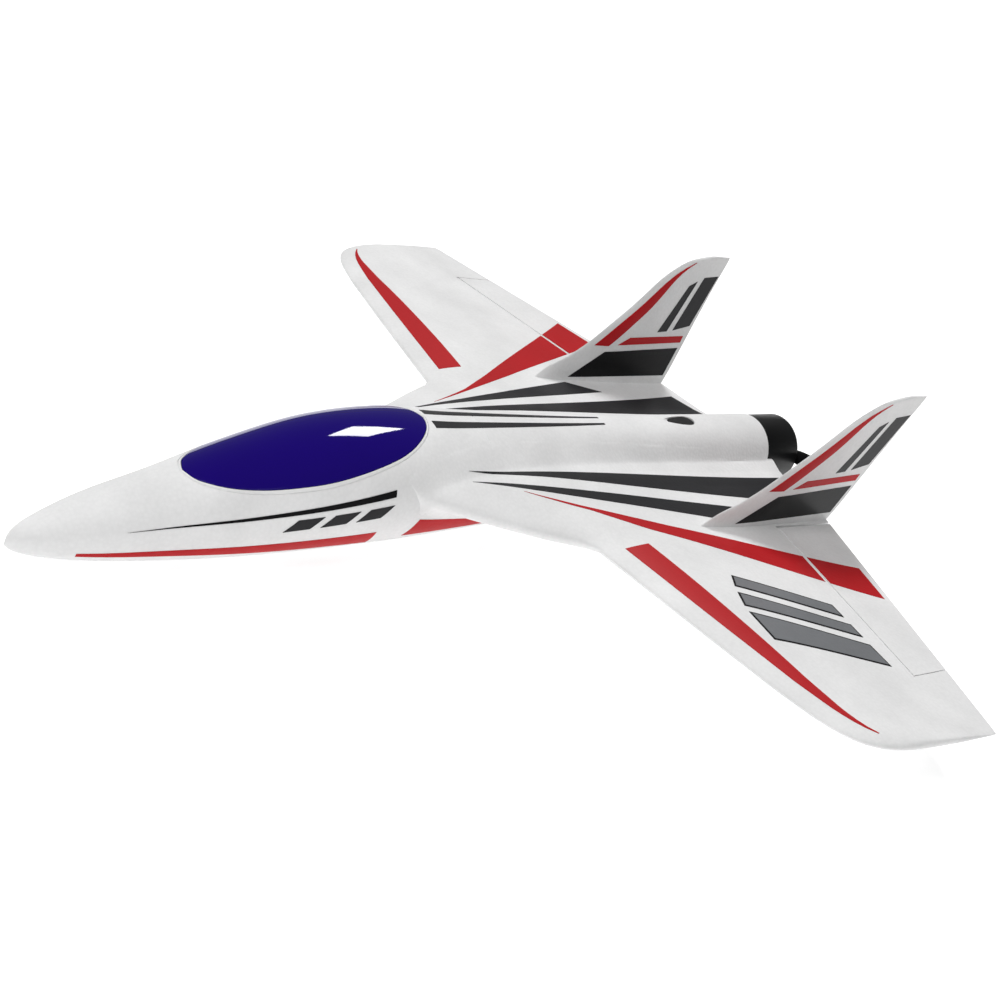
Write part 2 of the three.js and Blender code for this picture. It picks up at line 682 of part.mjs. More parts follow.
function propeller() {
  const hub = solid(new THREE.CylinderGeometry(7, 7, 7.4, 32));
  const bore = solid(new THREE.CylinderGeometry(2.8, 2.8, 20, 20));
  const opposite = solid(shapeOf(blade()).rotateY(Math.PI));
  const whole = cut(join(hub, blade(), opposite), bore);
  part('propeller', shapeOf(whole).rotateY(-PROP_ROLL).translate(0, PROP_STATION, THRUST_HEIGHT), BLACK, 0.4);
  const nut = cut(solid(barY(5.2, 765, 769.4, 0, THRUST_HEIGHT, 6)), solid(barY(2.8, 760, 775, 0, THRUST_HEIGHT, 20)));
  part('prop_nut', nut, STEEL, 0.3, 1);
}

// ---------------------------------------------------------------- equipment bay

/** Moves a piece modelled on a level floor to its place on the bay's floor. */
function onFloor(geometry, station, height) {
  return geometry.rotateX(KEEL_PITCH).translate(0, station, keelAt(station) + FLOOR + GAP + height);
}

function roundedBlock(length, width, height, corner = 2) {
  const [w, h] = [width / 2, height / 2];
  const outline = [[-w + corner, -h], [w - corner, -h], [w, -h + corner], [w, h - corner], [w - corner, h],
    [-w + corner, h], [-w, h - corner], [-w, -h + corner]];
  return loft([-length / 2, length / 2].map((y) => outline.map(([x, z]) => [x, y, z])));
}

function bandAround(width, height, length, thickness) {
  return cut(
    solid(roundedBlock(length, width + 2 * thickness, height + 2 * thickness, 3)),
    solid(roundedBlock(length + 2, width, height, 2)),
  );
}

function equipment() {
  const batteryLevel = TRAY.height + 2 * GAP + BATTERY.height / 2 + 1.2;
  const strap = bandAround(BATTERY.width + 2 * GAP, BATTERY.height + 2 * GAP, 16, 0.9);
  const tray = solid(roundedBlock(TRAY.length, TRAY.width, TRAY.height, 0.5));
  part('battery_tray', onFloor(shapeOf(tray), TRAY.station, TRAY.height / 2), PLYWOOD, 0.7);
  part('battery', onFloor(roundedBlock(BATTERY.length, BATTERY.width, BATTERY.height), BATTERY.station,
    batteryLevel), BATTERY_BLUE, 0.35);
  part('battery_strap', onFloor(shapeOf(strap), BATTERY.station, batteryLevel), BLACK, 0.9);
  part('speed_controller', onFloor(roundedBlock(ESC.length, ESC.width, ESC.height), ESC.station,
    ESC.height / 2), CARBON, 0.4);
  part('receiver', onFloor(roundedBlock(RECEIVER.length, RECEIVER.width, RECEIVER.height), RECEIVER.station,
    RECEIVER.height / 2), BLACK, 0.4);
}

// ---------------------------------------------------------------- elevon linkage

/** Places a solid laid out in the hinge frame on the port wing. */
function atHinge(body) {
  return shapeOf(body).applyMatrix4(hingeFrame(LINKAGE_X));
}

function servoBody() {
  const middle = -SERVO_BACK + SERVO.axisFromEnd - SERVO.length / 2;
  const level = -SERVO_DROP;
  return join(
    solid(box(SERVO.height, SERVO.length, SERVO.width, -3.5 - SERVO.height / 2, middle, level)),
    solid(box(2, SERVO.length + 9, SERVO.width - 0.4, -9, middle, level)),
    solid(barX(4, -4, -2, -SERVO_BACK, level, 20)),
    solid(barX(1.6, -3, 1.6, -SERVO_BACK, level, 16)),
  );
}

/** Pocket in the wing's underside for the servo, its lugs and its arm. */
function servoPocket() {
  const middle = -SERVO_BACK + SERVO.axisFromEnd - SERVO.length / 2;
  const top = -SERVO_DROP + SERVO.width / 2 + GAP;
  const deep = 40;
  const body = solid(box(SERVO.height + 2 * GAP, SERVO.length + 2 * GAP, deep, -3.5 - SERVO.height / 2, middle,
    top - deep / 2));
  const lugs = solid(box(2 + 2 * GAP, SERVO.length + 9 + 2 * GAP, deep, -9, middle, top - deep / 2));
  const swing = solid(box(11, 14, deep, 1.7, -SERVO_BACK, top - deep / 2));
  return solid(atHinge(join(body, lugs, swing)));
}

/** Flat lever with round ends and two holes, standing across the hinge axis. */
function lever(rootRadius, tipRadius, length) {
  const outline = [];
  for (let i = 0; i <= 8; i += 1) {
    const angle = (Math.PI * i) / 8;
    outline.push([rootRadius * Math.cos(angle), rootRadius * Math.sin(angle)]);
  }
  for (let i = 0; i <= 8; i += 1) {
    const angle = Math.PI + (Math.PI * i) / 8;
    outline.push([tipRadius * Math.cos(angle), tipRadius * Math.sin(angle) - length]);
  }
  return slab(outline, -0.8, 0.8).rotateX(Math.PI / 2).rotateZ(Math.PI / 2);
}

function servoArm() {
  const arm = lever(3.4, 2.2, ARM_LENGTH).translate(0, -SERVO_BACK, -SERVO_DROP);
  return cut(
    solid(arm),
    solid(barX(1.95, -5, 5, -SERVO_BACK, -SERVO_DROP, 16)),
    solid(barX(PIVOT_HOLE, -5, 5, -SERVO_BACK, -SERVO_DROP - ARM_LENGTH, 16)),
  );
}

/** Wire whose two bent ends pass through the arm and the horn. */
function pushrod() {
  const servoEnd = new THREE.Vector3(2.4, -SERVO_BACK, -SERVO_DROP - ARM_LENGTH);
  const hornEnd = new THREE.Vector3(2.4, 0, -ARM_LENGTH);
  const run = new THREE.LineCurve3(servoEnd, hornEnd);
  const wire = new THREE.Shape().absarc(0, 0, PIN_RADIUS, 0, 2 * Math.PI);
  return join(
    solid(new THREE.ExtrudeGeometry(wire, { steps: 1, curveSegments: 6, extrudePath: run })),
    solid(barX(PIN_RADIUS, -2, 2.8, servoEnd.y, servoEnd.z, 12)),
    solid(barX(PIN_RADIUS, -2, 2.8, hornEnd.y, hornEnd.z, 12)),
  );
}

/** Horn with a foot under the elevon and its hole straight below the hinge axis. */
function hornBody() {
  const skin = -hingeRoot.half - 1.1;
  const web = slab([[3, skin], [14, skin], [2.2, -ARM_LENGTH - 1.8], [-1.2, -ARM_LENGTH - 2], [-2.4, -ARM_LENGTH]], -0.8, 0.8)
    .rotateX(Math.PI / 2)
    .rotateZ(Math.PI / 2);
  return cut(
    join(solid(web), solid(box(9, 13, 1.2, 0, 9, skin - 0.1))),
    solid(barX(PIVOT_HOLE, -5, 5, 0, -ARM_LENGTH, 16)),
  );
}

function linkages() {
  pair('servo', atHinge(servoBody()), BLACK, 0.4);
  pair('servo_arm', atHinge(servoArm()), HORN_WHITE, 0.5);
  pair('pushrod', atHinge(pushrod()), STEEL, 0.3, 1);
  pair('elevon_horn', atHinge(hornBody()), BLACK, 0.5);
}

// ---------------------------------------------------------------- assembly

/** Levels the keel and centres the group over the middle of its lowest face. */
function settle(group) {
  for (const mesh of group.children) {
    mesh.geometry.translate(0, -KEEL_STATION, -KEEL_HEIGHT);
    mesh.geometry.rotateX(-KEEL_PITCH);
  }
  const extent = new THREE.Box3().setFromObject(group);
  const middle = (extent.min.y + extent.max.y) / 2;
  for (const mesh of group.children) {
    mesh.geometry.translate(0, -middle, 0);
    mesh.geometry.computeVertexNormals();
  }
}

fuselageShells();
canopy();
canopyFrame();
magnets();
wingPanels([servoPocket()]);
fins();
spars();
nozzle();
motorMount();
motorScrews();
motorStator();
motorBell();
propAdapter();
propeller();
equipment();
linkages();
settle(parts);

export default parts;
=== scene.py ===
import math

import bmesh
import bpy
from mathutils import Matrix, Vector, geometry


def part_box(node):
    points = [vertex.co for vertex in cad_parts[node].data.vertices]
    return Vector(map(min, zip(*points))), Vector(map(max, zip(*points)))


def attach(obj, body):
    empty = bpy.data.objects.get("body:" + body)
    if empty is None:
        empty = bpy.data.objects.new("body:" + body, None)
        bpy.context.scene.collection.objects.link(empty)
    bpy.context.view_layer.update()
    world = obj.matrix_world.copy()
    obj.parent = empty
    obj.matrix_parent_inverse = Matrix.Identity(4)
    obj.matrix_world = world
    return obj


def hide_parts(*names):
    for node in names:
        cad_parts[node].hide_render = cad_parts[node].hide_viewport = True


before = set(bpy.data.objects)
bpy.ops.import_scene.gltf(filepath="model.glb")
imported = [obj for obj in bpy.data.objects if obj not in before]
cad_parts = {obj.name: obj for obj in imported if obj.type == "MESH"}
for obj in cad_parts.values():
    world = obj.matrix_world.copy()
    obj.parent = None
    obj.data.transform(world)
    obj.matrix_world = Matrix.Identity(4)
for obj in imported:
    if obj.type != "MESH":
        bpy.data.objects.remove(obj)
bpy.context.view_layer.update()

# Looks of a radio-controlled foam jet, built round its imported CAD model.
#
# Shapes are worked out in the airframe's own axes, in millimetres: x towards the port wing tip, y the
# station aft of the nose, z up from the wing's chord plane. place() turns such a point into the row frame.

# ---------------------------------------------------------------- dimensions, in millimetres and radians

HULL = [                                # station, half width, top, bottom
    (0, 0.5, -41, -43), (3, 5.5, -35.5, -45.5), (9, 10.5, -29.8, -47.8), (20, 15.8, -23.8, -50.2),
    (50, 25, -10.8, -54), (100, 35, 5, -56.5), (160, 46, 26, -56.6), (220, 53, 43, -54.3),
    (280, 55, 49, -51.7), (340, 51, 46, -49.2), (400, 45.5, 43.5, -46.6), (470, 40, 41, -43.4),
    (560, 35.5, 39, -38.8), (640, 33.5, 38, -34.8), (705, 33, 37.1, -30.1),
]
HULL_END = 705
WALL = 12
FLOOR = 16
KEEL_PITCH = math.radians(2.5)
KEEL_STATION = 750
KEEL_HEIGHT = -29.6
ROW_CENTRE = 363.518                    # from station 750 to the middle of the model's length
SKID = {"station": 400, "length": 460, "width": 16, "height": 0.5}
SEAM_STATION = 360                      # moulding line round the fuselage behind the canopy

HATCH = [                               # half width, station
    (0, 115), (11, 119), (18, 126), (26, 139), (33, 158), (39, 186), (42, 214), (40.5, 245), (35, 272),
    (26, 289.5), (13.5, 302), (0, 307),
]
CANOPY_SKIN = 2
FRAME_RIM = 2
FRAME_WIDTH = 8
FRAME_TOP = 4
FRAME_BOTTOM = 8
LEDGE_WIDTH = 4
GAP = 0.3

LEADING_EDGE = [                        # x, station, height
    (20, 221, 12), (38, 254, 11), (54, 283, 9.5), (72, 317, 6.5), (85, 340.5, 5), (101.5, 369, 4.2),
    (118, 402, 3.7), (126, 410, 3.9), (233, 424, 7), (305, 434, 9.2), (335, 441, 10), (355, 449.5, 10.6),
    (369, 461, 11), (377, 475, 11.3), (382, 492, 11.5), (385.5, 520, 11.6), (391.3, 585, 11.7),
]
TRAILING_EDGE = [(20, 713, 12), (34, 712, 10.5), (46, 710.5, 6.8), (65, 708, 5), (119, 701, 4),
                 (391.5, 591, 11.7)]
TIP_CURVE = 335                         # outboard of this the leading edge curves into the tip
WING_TIP = 391.3                        # x at which the wing's edge has become thin
PANEL_START = 126                       # x inboard of which the wing's sections crowd towards its root
PANEL_SHIFT = 20                        # outboard of it a section's span is its x less this
THICKNESS_RATIO = 0.072
REFLEX = 0.07
EDGE_THICKNESS = 0.7
FILLET = 11                             # height over which wing and fuselage blend

HINGE_ROOT = (116, 626)
HINGE_TIP = (323, 574.5)
ELEVON_ROOT = 127
ELEVON_TIP = 321.5
ELEVON_ROOT_GAP = 2.2
ELEVON_TIP_GAP = 0.8
HINGE_GAP = 0.45
HINGE_GROOVE = 1.1                      # open groove on top of the hinge, aft of the hinge line
HINGE_SINK = 0.7                        # how far the elevon's round nose lies below the skin

FIN = [                                 # height, leading edge station, trailing edge station
    (4, 514, 700), (10, 524, 702), (24, 542, 706), (33, 560, 708), (44, 577, 710.5), (57, 592, 713.5),
    (71, 607, 716.5), (85, 622, 720), (100, 636, 723.5), (115, 650, 727.5), (127, 665.5, 731),
    (136, 684, 733.5), (141, 708, 734.5),
]
FIN_X = 119.5
FIN_FOOT_HEIGHT = 4
FIN_LOWEST = 3.6                        # the fins start this high, just inside the wing
FIN_TOP = 141
FIN_CANT = 0.083
FIN_HALF_THICKNESS = (3.6, 2.0)

THRUST_HEIGHT = 3.5                     # of the line that the motor and propeller turn about
PROPELLER_STATION = 761
PROPELLER_BORE = 2.8                    # radius
SOCKET = {"radius": 28.3, "start": 691.7, "end": 760}   # where the nozzle plugs into the foam
CAVITY = {"start": 60, "end": 692}

INTAKE = {"start": 575, "end": 616, "half_width": 7.5, "depth": 15}
INTAKE_NOSE = 0.12                      # width at its pointed end, as a fraction of its full width
INTAKE_WIDEST = 0.8                     # fraction of its length where it reaches its full width
INTAKE_ROUND = 0.82                     # fraction of its length where its rear end starts to round
INTAKE_REAR = (0.55, 0.7, 0.82, 0.91, 0.97)     # cross-sections, as fractions of its length

# ---------------------------------------------------------------- numbers


def lerp(a, b, t):
    return a + (b - a) * t


def clamp(value, low, high):
    return min(max(value, low), high)


def between(table, column):
    """Straight-line function through a table's first column and another one."""
    def value(at):
        at = clamp(at, table[0][0], table[-1][0])
        for left, right in zip(table, table[1:]):
            if at <= right[0]:
                return lerp(left[column], right[column], (at - left[0]) / (right[0] - left[0]))
        return table[-1][column]
    return value


def through(table, column):
    """Smooth function through a table: at each row its slope is the mean of the two slopes beside it."""
    xs = [row[0] for row in table]
    ys = [row[column] for row in table]
    slopes = [(ys[i + 1] - ys[i]) / (xs[i + 1] - xs[i]) for i in range(len(xs) - 1)]
    tangents = [(a + b) / 2 for a, b in zip(slopes, slopes[1:])]
    tangents = [(3 * slopes[0] - tangents[0]) / 2] + tangents + [(3 * slopes[-1] - tangents[-1]) / 2]

    def value(at):
        at = clamp(at, xs[0], xs[-1])
        i = next(k for k in range(len(slopes)) if at <= xs[k + 1])
        step = xs[i + 1] - xs[i]
        t = (at - xs[i]) / step
        return ((2 * t**3 - 3 * t**2 + 1) * ys[i] + (t**3 - 2 * t**2 + t) * step * tangents[i]
                + (3 * t**2 - 2 * t**3) * ys[i + 1] + (t**3 - t**2) * step * tangents[i + 1])
    return value


def spaced(low, high, step):
    """Even values from low to high, no further apart than step."""
    count = max(1, math.ceil((high - low) / step))
    return [lerp(low, high, i / count) for i in range(count + 1)]


def place(x, y, z):
    """Row-frame point, in metres, of a point in the airframe's axes."""
    aft = y - KEEL_STATION
    up = z - KEEL_HEIGHT
    return Vector((
        x,
        aft * math.cos(KEEL_PITCH) + up * math.sin(KEEL_PITCH) + ROW_CENTRE,
        up * math.cos(KEEL_PITCH) - aft * math.sin(KEEL_PITCH),
    )) / 1000


# ---------------------------------------------------------------- surfaces of the airframe

half_width_at = through(HULL, 1)
top_at = through(HULL, 2)
bottom_at = through(HULL, 3)


def keel_at(station):
    return KEEL_HEIGHT + (station - KEEL_STATION) * math.tan(KEEL_PITCH)


def hull_point(station, angle, inset=0.0, floor=SKID["height"]):
    """Point of the fuselage's oval skin, at an angle from its top towards port."""
    if abs(station - SEAM_STATION) < 0.1 and inset == 0:
        inset = 0.45
    middle = (top_at(station) + bottom_at(station)) / 2
    rise = (top_at(station) - bottom_at(station)) / 2 - inset
    x = (half_width_at(station) - inset) * math.sin(angle)
    return x, station, max(middle + rise * math.cos(angle), keel_at(station) + floor)


def deck(x, station):
    """Height of the fuselage's upper skin beside the centre line; it runs on down past the widest line."""
    middle = (top_at(station) + bottom_at(station)) / 2
    rise = (top_at(station) - bottom_at(station)) / 2
    width = half_width_at(station)
    edge = 0.985
    if abs(x) < edge * width:
        return middle + rise * math.sqrt(1 - (x / width) ** 2)
    return middle + rise * math.sqrt(1 - edge**2) - 6 * (abs(x) - edge * width)


def belly(x, station):
    """Height of the fuselage's lower skin beside the centre line."""
    middle = (top_at(station) + bottom_at(station)) / 2
    return max(2 * middle - deck(x, station), keel_at(station) + SKID["height"])


def flank(station, height):
    """Distance of the fuselage's skin from the centre line, at a height."""
    middle = (top_at(station) + bottom_at(station)) / 2
    rise = (top_at(station) - bottom_at(station)) / 2
    return half_width_at(station) * math.sqrt(max(0.01, 1 - ((height - middle) / rise) ** 2))


lead_straight = between(LEADING_EDGE, 1)
lead_curved = through(LEADING_EDGE, 1)
lead_height_at = between(LEADING_EDGE, 2)
trail_at = between(TRAILING_EDGE, 1)
trail_height_at = between(TRAILING_EDGE, 2)


def lead_at(x):
    return lead_curved(x) if x > TIP_CURVE else lead_straight(x)


def wing_at(x, s):
    """Middle height and half thickness of the wing, at a fraction of the chord behind its leading edge."""
    chord = trail_at(x) - lead_at(x)
    spread = 5 * (0.2969 * math.sqrt(s) - 0.126 * s - 0.3516 * s**2 + 0.2843 * s**3 - 0.1015 * s**4)
    middle = lerp(lead_height_at(x), trail_height_at(x), s) - REFLEX * chord * s**2 * (1 - s)
    return middle, spread * THICKNESS_RATIO * chord + EDGE_THICKNESS * min(1, 6 * s)


def chord_fraction(x, station):
    return clamp((station - lead_at(x)) / (trail_at(x) - lead_at(x)), 0, 1)


def blended(wing, hull, side, station):
    """Wing height joined to the fuselage's by a fillet; side is 1 on top and -1 underneath."""
    if station > HULL_END:
        return wing
    excess = side * (hull - wing)
    if excess <= -FILLET:
        return wing
    if excess < FILLET:
        overlap = (FILLET - abs(excess)) / FILLET
        return (max(wing, hull) if side > 0 else min(wing, hull)) + side * overlap**2 * FILLET / 4
    if excess < 1.5 * FILLET:
        return hull - side * 3 * (excess - FILLET)
    return wing


def wing_top(x, station):
    """Height of the wing's upper surface on either side, with its root fillet."""
    x = abs(x)
    middle, half = wing_at(x, chord_fraction(x, station))
    return blended(middle + half, deck(x, station), 1, station)


def wing_under(x, station):
    middle, half = wing_at(x, chord_fraction(x, station))
    return blended(middle - half, belly(x, station), -1, station)


def side_at(station, height):
    """Distance of the outermost skin from the centre line: the fuselage, or the wing root beside it."""
    def covered(x):
        return lead_at(x) < station and wing_under(x, station) < height < wing_top(x, station)

    low = flank(station, height)
    while low < 110 and covered(low + 1):
        low += 1
    high = low + 1
    for _ in range(8):
        middle = (low + high) / 2
        low, high = (middle, high) if covered(middle) else (low, middle)
    return max(low, flank(station, height))


def hinge_station_at(x):
    t = (x - HINGE_ROOT[0]) / (HINGE_TIP[0] - HINGE_ROOT[0])
    return lerp(HINGE_ROOT[1], HINGE_TIP[1], t)


def hinge_at(x):
    """Height of the hinge axis, and radius of the elevon's nose, at a place along the span."""
    ends = [wing_at(px, chord_fraction(px, station)) for px, station in (HINGE_ROOT, HINGE_TIP)]
    t = (x - HINGE_ROOT[0]) / (HINGE_TIP[0] - HINGE_ROOT[0])
    return lerp(ends[0][0], ends[1][0], t), lerp(ends[0][1], ends[1][1], t)


fin_lead_at = through(FIN, 1)
fin_trail_at = through(FIN, 2)


def fin_half(station, height):
    """Half thickness of a fin at a point of its outline."""
    t = (height - FIN[0][0]) / (FIN[-1][0] - FIN[0][0])
    s = clamp((station - fin_lead_at(height)) / (fin_trail_at(height) - fin_lead_at(height)), 0, 1)
    taper = 1 - 0.82 * max(0, (s - 0.35) / 0.65)
    return lerp(*FIN_HALF_THICKNESS, t) * min(1, math.sqrt(6 * s)) * taper


def fin_middle(height):
    return FIN_X + FIN_CANT * (height - FIN_FOOT_HEIGHT)


# ---------------------------------------------------------------- mesh helpers


def add_mesh(name, points, faces, smooth_angle=32):
    """Object from points in the airframe's axes, with its normals outward and smooth up to an angle."""
    mesh = bpy.data.meshes.new(name)
    mesh.from_pydata([place(*p) for p in points], [], faces)
    piece = bpy.data.objects.new(name, mesh)
    bpy.context.scene.collection.objects.link(piece)
    tidy_mesh(piece, smooth_angle)
    return piece


def tidy_mesh(piece, smooth_angle=32, weld=1e-6):
    work = bmesh.new()
    work.from_mesh(piece.data)
    bmesh.ops.remove_doubles(work, verts=work.verts, dist=weld)
    bmesh.ops.recalc_face_normals(work, faces=work.faces)
    work.to_mesh(piece.data)
    work.free()
    piece.data.shade_smooth()
    piece.data.set_sharp_from_angle(angle=math.radians(smooth_angle))


def lofted(name, rings, smooth_angle=32, capped=True):
    """Skin through rings of equally many points; capped closes its two ends."""
    count = len(rings[0])
    points = [p for ring in rings for p in ring]
    faces = []
    for row in range(len(rings) - 1):
        for i in range(count):
            a, b = row * count + i, row * count + (i + 1) % count
            faces.append((a, b, b + count, a + count))
    if capped:
        faces.append(tuple(range(count)))
        faces.append(tuple(range(len(points) - count, len(points))))
    else:
        last = (len(rings) - 1) * count
        faces += [(last + i, last + (i + 1) % count, (i + 1) % count, i) for i in range(count)]
    return add_mesh(name, points, faces, smooth_angle)


def carve(piece, tool, operation="DIFFERENCE"):
    """Cuts, joins or intersects a piece with a tool, and applies the result."""
    modifier = piece.modifiers.new("carve", "BOOLEAN")
    modifier.operation = operation
    modifier.solver = "EXACT"
    modifier.object = tool
    apply_modifiers(piece)
    bpy.data.objects.remove(tool)
    return piece


def apply_modifiers(piece):
    bpy.context.view_layer.update()
    depsgraph = bpy.context.evaluated_depsgraph_get()
    mesh = bpy.data.meshes.new_from_object(piece.evaluated_get(depsgraph))
    piece.modifiers.clear()
    piece.data = mesh


SHARP_ANGLE = 40                        # degrees; edges sharper than this get rounded


def soften(piece, width, segments=2):
    """Rounds the edges of a piece; width in millimetres."""
    modifier = piece.modifiers.new("soften", "BEVEL")
    modifier.width = width / 1000
    modifier.segments = segments
    modifier.limit_method = "ANGLE"
    modifier.angle_limit = math.radians(SHARP_ANGLE)
    apply_modifiers(piece)
    tidy_mesh(piece)
    return piece


def twin(piece, name):
    """The starboard twin of a port-side piece."""
    copy = bpy.data.objects.new(name, piece.data.copy())
    bpy.context.scene.collection.objects.link(copy)
    copy.data.transform(Matrix.Scale(-1, 4, (1, 0, 0)))
    copy.data.flip_normals()
    return copy


def dress(piece, body, material, replaces=()):
    """Gives a piece its material, its body and the CAD nodes that it stands for."""
    piece.data.materials.clear()
    piece.data.materials.append(material)
    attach(piece, body)
    if replaces:
        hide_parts(*replaces)
    return piece


def dress_pair(piece, name, body, material, node):
    """Dresses a port-side piece and its starboard twin; body and node are names without their side."""
    piece.name = f"{name}_left"
    for side, half in (("left", piece), ("right", twin(piece, f"{name}_right"))):
        side_body = f"{body}_{side}" if body != "airframe" else body
        dress(half, side_body, material, (f"{node}_{side}",))


# ---------------------------------------------------------------- materials


def linear(hex_colour):
    """Linear colour from an sRGB hex string."""
    channels = [int(hex_colour[i:i + 2], 16) / 255 for i in (0, 2, 4)]
    return [c / 12.92 if c < 0.04045 else ((c + 0.055) / 1.055) ** 2.4 for c in channels]


def finish(name, colour, roughness, metallic=0.0, coat=0.0, texture="noise", size=1.0, depth=0.02,
           mottle=0.06, stretch=(1, 1, 1), wear=0.08, specular=0.5):
    """Procedural material; the texture's grain (size) and its relief (depth) are in millimetres."""
    material = bpy.data.materials.new(name)
    material.use_nodes = True
    tree = material.node_tree
    shader = tree.nodes["Principled BSDF"]
    shader.inputs["Metallic"].default_value = metallic
    shader.inputs["Specular IOR Level"].default_value = specular
    shader.inputs["Coat Weight"].default_value = coat
    shader.inputs["Coat Roughness"].default_value = 0.06

    def node(kind, **values):
        made = tree.nodes.new(kind)
        for key, value in values.items():
            if key in made.inputs:
                made.inputs[key].default_value = value
            else:
                setattr(made, key, value)
        return made

    coordinates = node("ShaderNodeTexCoord")
    mapping = node("ShaderNodeMapping")
    mapping.inputs["Scale"].default_value = stretch
    tree.links.new(coordinates.outputs["Object"], mapping.inputs["Vector"])
    scale = 1000 / size
    if texture == "beads":
        grain = node("ShaderNodeTexVoronoi", feature="SMOOTH_F1", Scale=scale, Smoothness=0.35)
        relief = grain.outputs["Distance"]
    elif texture == "weave":
        grain = node("ShaderNodeTexWave", bands_direction="DIAGONAL", Scale=scale / 6, Distortion=0.6)
        relief = grain.outputs["Fac"]
    elif texture == "rings":
        grain = node("ShaderNodeTexWave", wave_type="RINGS", rings_direction="Y", Scale=scale / 6,
                     Distortion=0.3)
        relief = grain.outputs["Fac"]
    else:
        grain = node("ShaderNodeTexNoise", Scale=scale, Detail=4.0)
        relief = grain.outputs["Fac"]
    tree.links.new(mapping.outputs["Vector"], grain.inputs["Vector"])

    clouds = node("ShaderNodeTexNoise", Scale=18.0, Detail=5.0)
    tree.links.new(coordinates.outputs["Object"], clouds.inputs["Vector"])
    base = linear(colour)
    ramp = node("ShaderNodeValToRGB")
    ramp.color_ramp.elements[0].position = 0.3
    ramp.color_ramp.elements[1].position = 0.7
    ramp.color_ramp.elements[0].color = (*[c * (1 - mottle) for c in base], 1)
    ramp.color_ramp.elements[1].color = (*[min(1, c * (1 + mottle)) for c in base], 1)
    shade = node("ShaderNodeMix", data_type="RGBA", blend_type="MULTIPLY")
    shade.inputs["Factor"].default_value = 1.0
    # Painted shade: the colour darkens by the mottle fraction in the relief's hollows, where the bump map is
    # low.
    hollow_shade = node("ShaderNodeMapRange")
    hollow_shade.inputs["To Min"].default_value = 1.0 if texture == "beads" else 1 - mottle
    hollow_shade.inputs["To Max"].default_value = 1 - mottle if texture == "beads" else 1.0
    tree.links.new(clouds.outputs["Fac"], ramp.inputs["Fac"])
    tree.links.new(relief, hollow_shade.inputs["Value"])
    tree.links.new(ramp.outputs["Color"], shade.inputs[6])
    tree.links.new(hollow_shade.outputs["Result"], shade.inputs[7])
    tree.links.new(shade.outputs[2], shader.inputs["Base Color"])

    polish = node("ShaderNodeMapRange")
    polish.inputs["To Min"].default_value = max(0.02, roughness - wear / 2)
    polish.inputs["To Max"].default_value = min(1, roughness + wear / 2)
    tree.links.new(clouds.outputs["Fac"], polish.inputs["Value"])
    tree.links.new(polish.outputs["Result"], shader.inputs["Roughness"])

    if depth:
        bump = node("ShaderNodeBump", invert=(texture == "beads"))
        bump.inputs["Strength"].default_value = 1.0
        bump.inputs["Distance"].default_value = depth / 1000
        tree.links.new(relief, bump.inputs["Height"])
        tree.links.new(bump.outputs["Normal"], shader.inputs["Normal"])
    return material


FOAM = finish("foam", "e9e9e9", 0.66, texture="beads", size=2.8, depth=0.16, mottle=0.06, specular=0.12)
CANOPY = finish("canopy_blue", "16006c", 0.04, size=9, depth=0.003, mottle=0.03, wear=0.02, specular=0.28)
FILM = {"texture": "beads", "size": 2.8, "depth": 0.05, "specular": 0.1}
RED = finish("red_film", "b5141b", 0.46, mottle=0.05, **FILM)
GREY = finish("dark_grey_film", "2b2b2d", 0.36, mottle=0.08, **FILM)
INK = finish("black_film", "0c0c0e", 0.36, mottle=0.08, **FILM)
SILVER = finish("silver_grey_film", "7e8083", 0.34, metallic=0.2, mottle=0.06, **FILM)
BLACK_PLASTIC = finish("black_plastic", "060607", 0.4, size=0.5, depth=0.01, mottle=0.12, specular=0.2)
CARBON = finish("carbon", "1d1f22", 0.3, coat=0.6, texture="weave", size=1.2, depth=0.02, mottle=0.3)
STEEL = finish("steel", "a9abb0", 0.26, metallic=1.0, size=0.3, depth=0.004, stretch=(1, 12, 1))
ALLOY = finish("alloy", "b9bcc1", 0.32, metallic=1.0, texture="rings", size=0.35, depth=0.005)
COPPER = finish("copper", "9a5a30", 0.34, metallic=0.9, texture="rings", size=0.7, depth=0.06, mottle=0.2)
PLYWOOD = finish("plywood", "c79a62", 0.6, size=1.2, depth=0.03, mottle=0.14, stretch=(1, 0.06, 1))
WRAP = finish("battery_wrap", "223f70", 0.28, coat=0.4, size=5, depth=0.08, mottle=0.08)
STRAP = finish("strap", "141414", 0.9, texture="weave", size=0.8, depth=0.12, mottle=0.3)
NYLON = finish("white_plastic", "efefec", 0.45, size=0.4, depth=0.01, mottle=0.04)

# ---------------------------------------------------------------- fuselage


def hatch_outline(offset, steps=28):
    """Half of the hatch outline moved outwards, as (half width, station), front to rear."""
    lengths = [0.0]
    for (xa, ya), (xb, yb) in zip(HATCH, HATCH[1:]):
        lengths.append(lengths[-1] + math.hypot(xb - xa, yb - ya) ** 0.5)
    width_at = through([(t, x) for t, (x, _) in zip(lengths, HATCH)], 1)
    station_at = through([(t, y) for t, (_, y) in zip(lengths, HATCH)], 1)
    rows = []
    for i in range(steps + 1):
        t = lengths[-1] * i / steps
        before, after = max(t - 0.05, 0), min(t + 0.05, lengths[-1])
        run = Vector((width_at(after) - width_at(before), station_at(after) - station_at(before)))
        run.normalize()
        x = width_at(t) + offset * run.y
        y = station_at(t) - offset * run.x
        if i == 0:
            x, y = 0, HATCH[0][1] - offset
        if i == steps:
            x, y = 0, HATCH[-1][1] + offset
        rows.append((max(x, 0), y))
    return rows


def hatch_ring(offset, steps=28):
    """The whole hatch outline as a closed ring of (x, station)."""
    half = hatch_outline(offset, steps)
    return half + [(-x, y) for x, y in half[-2:0:-1]]


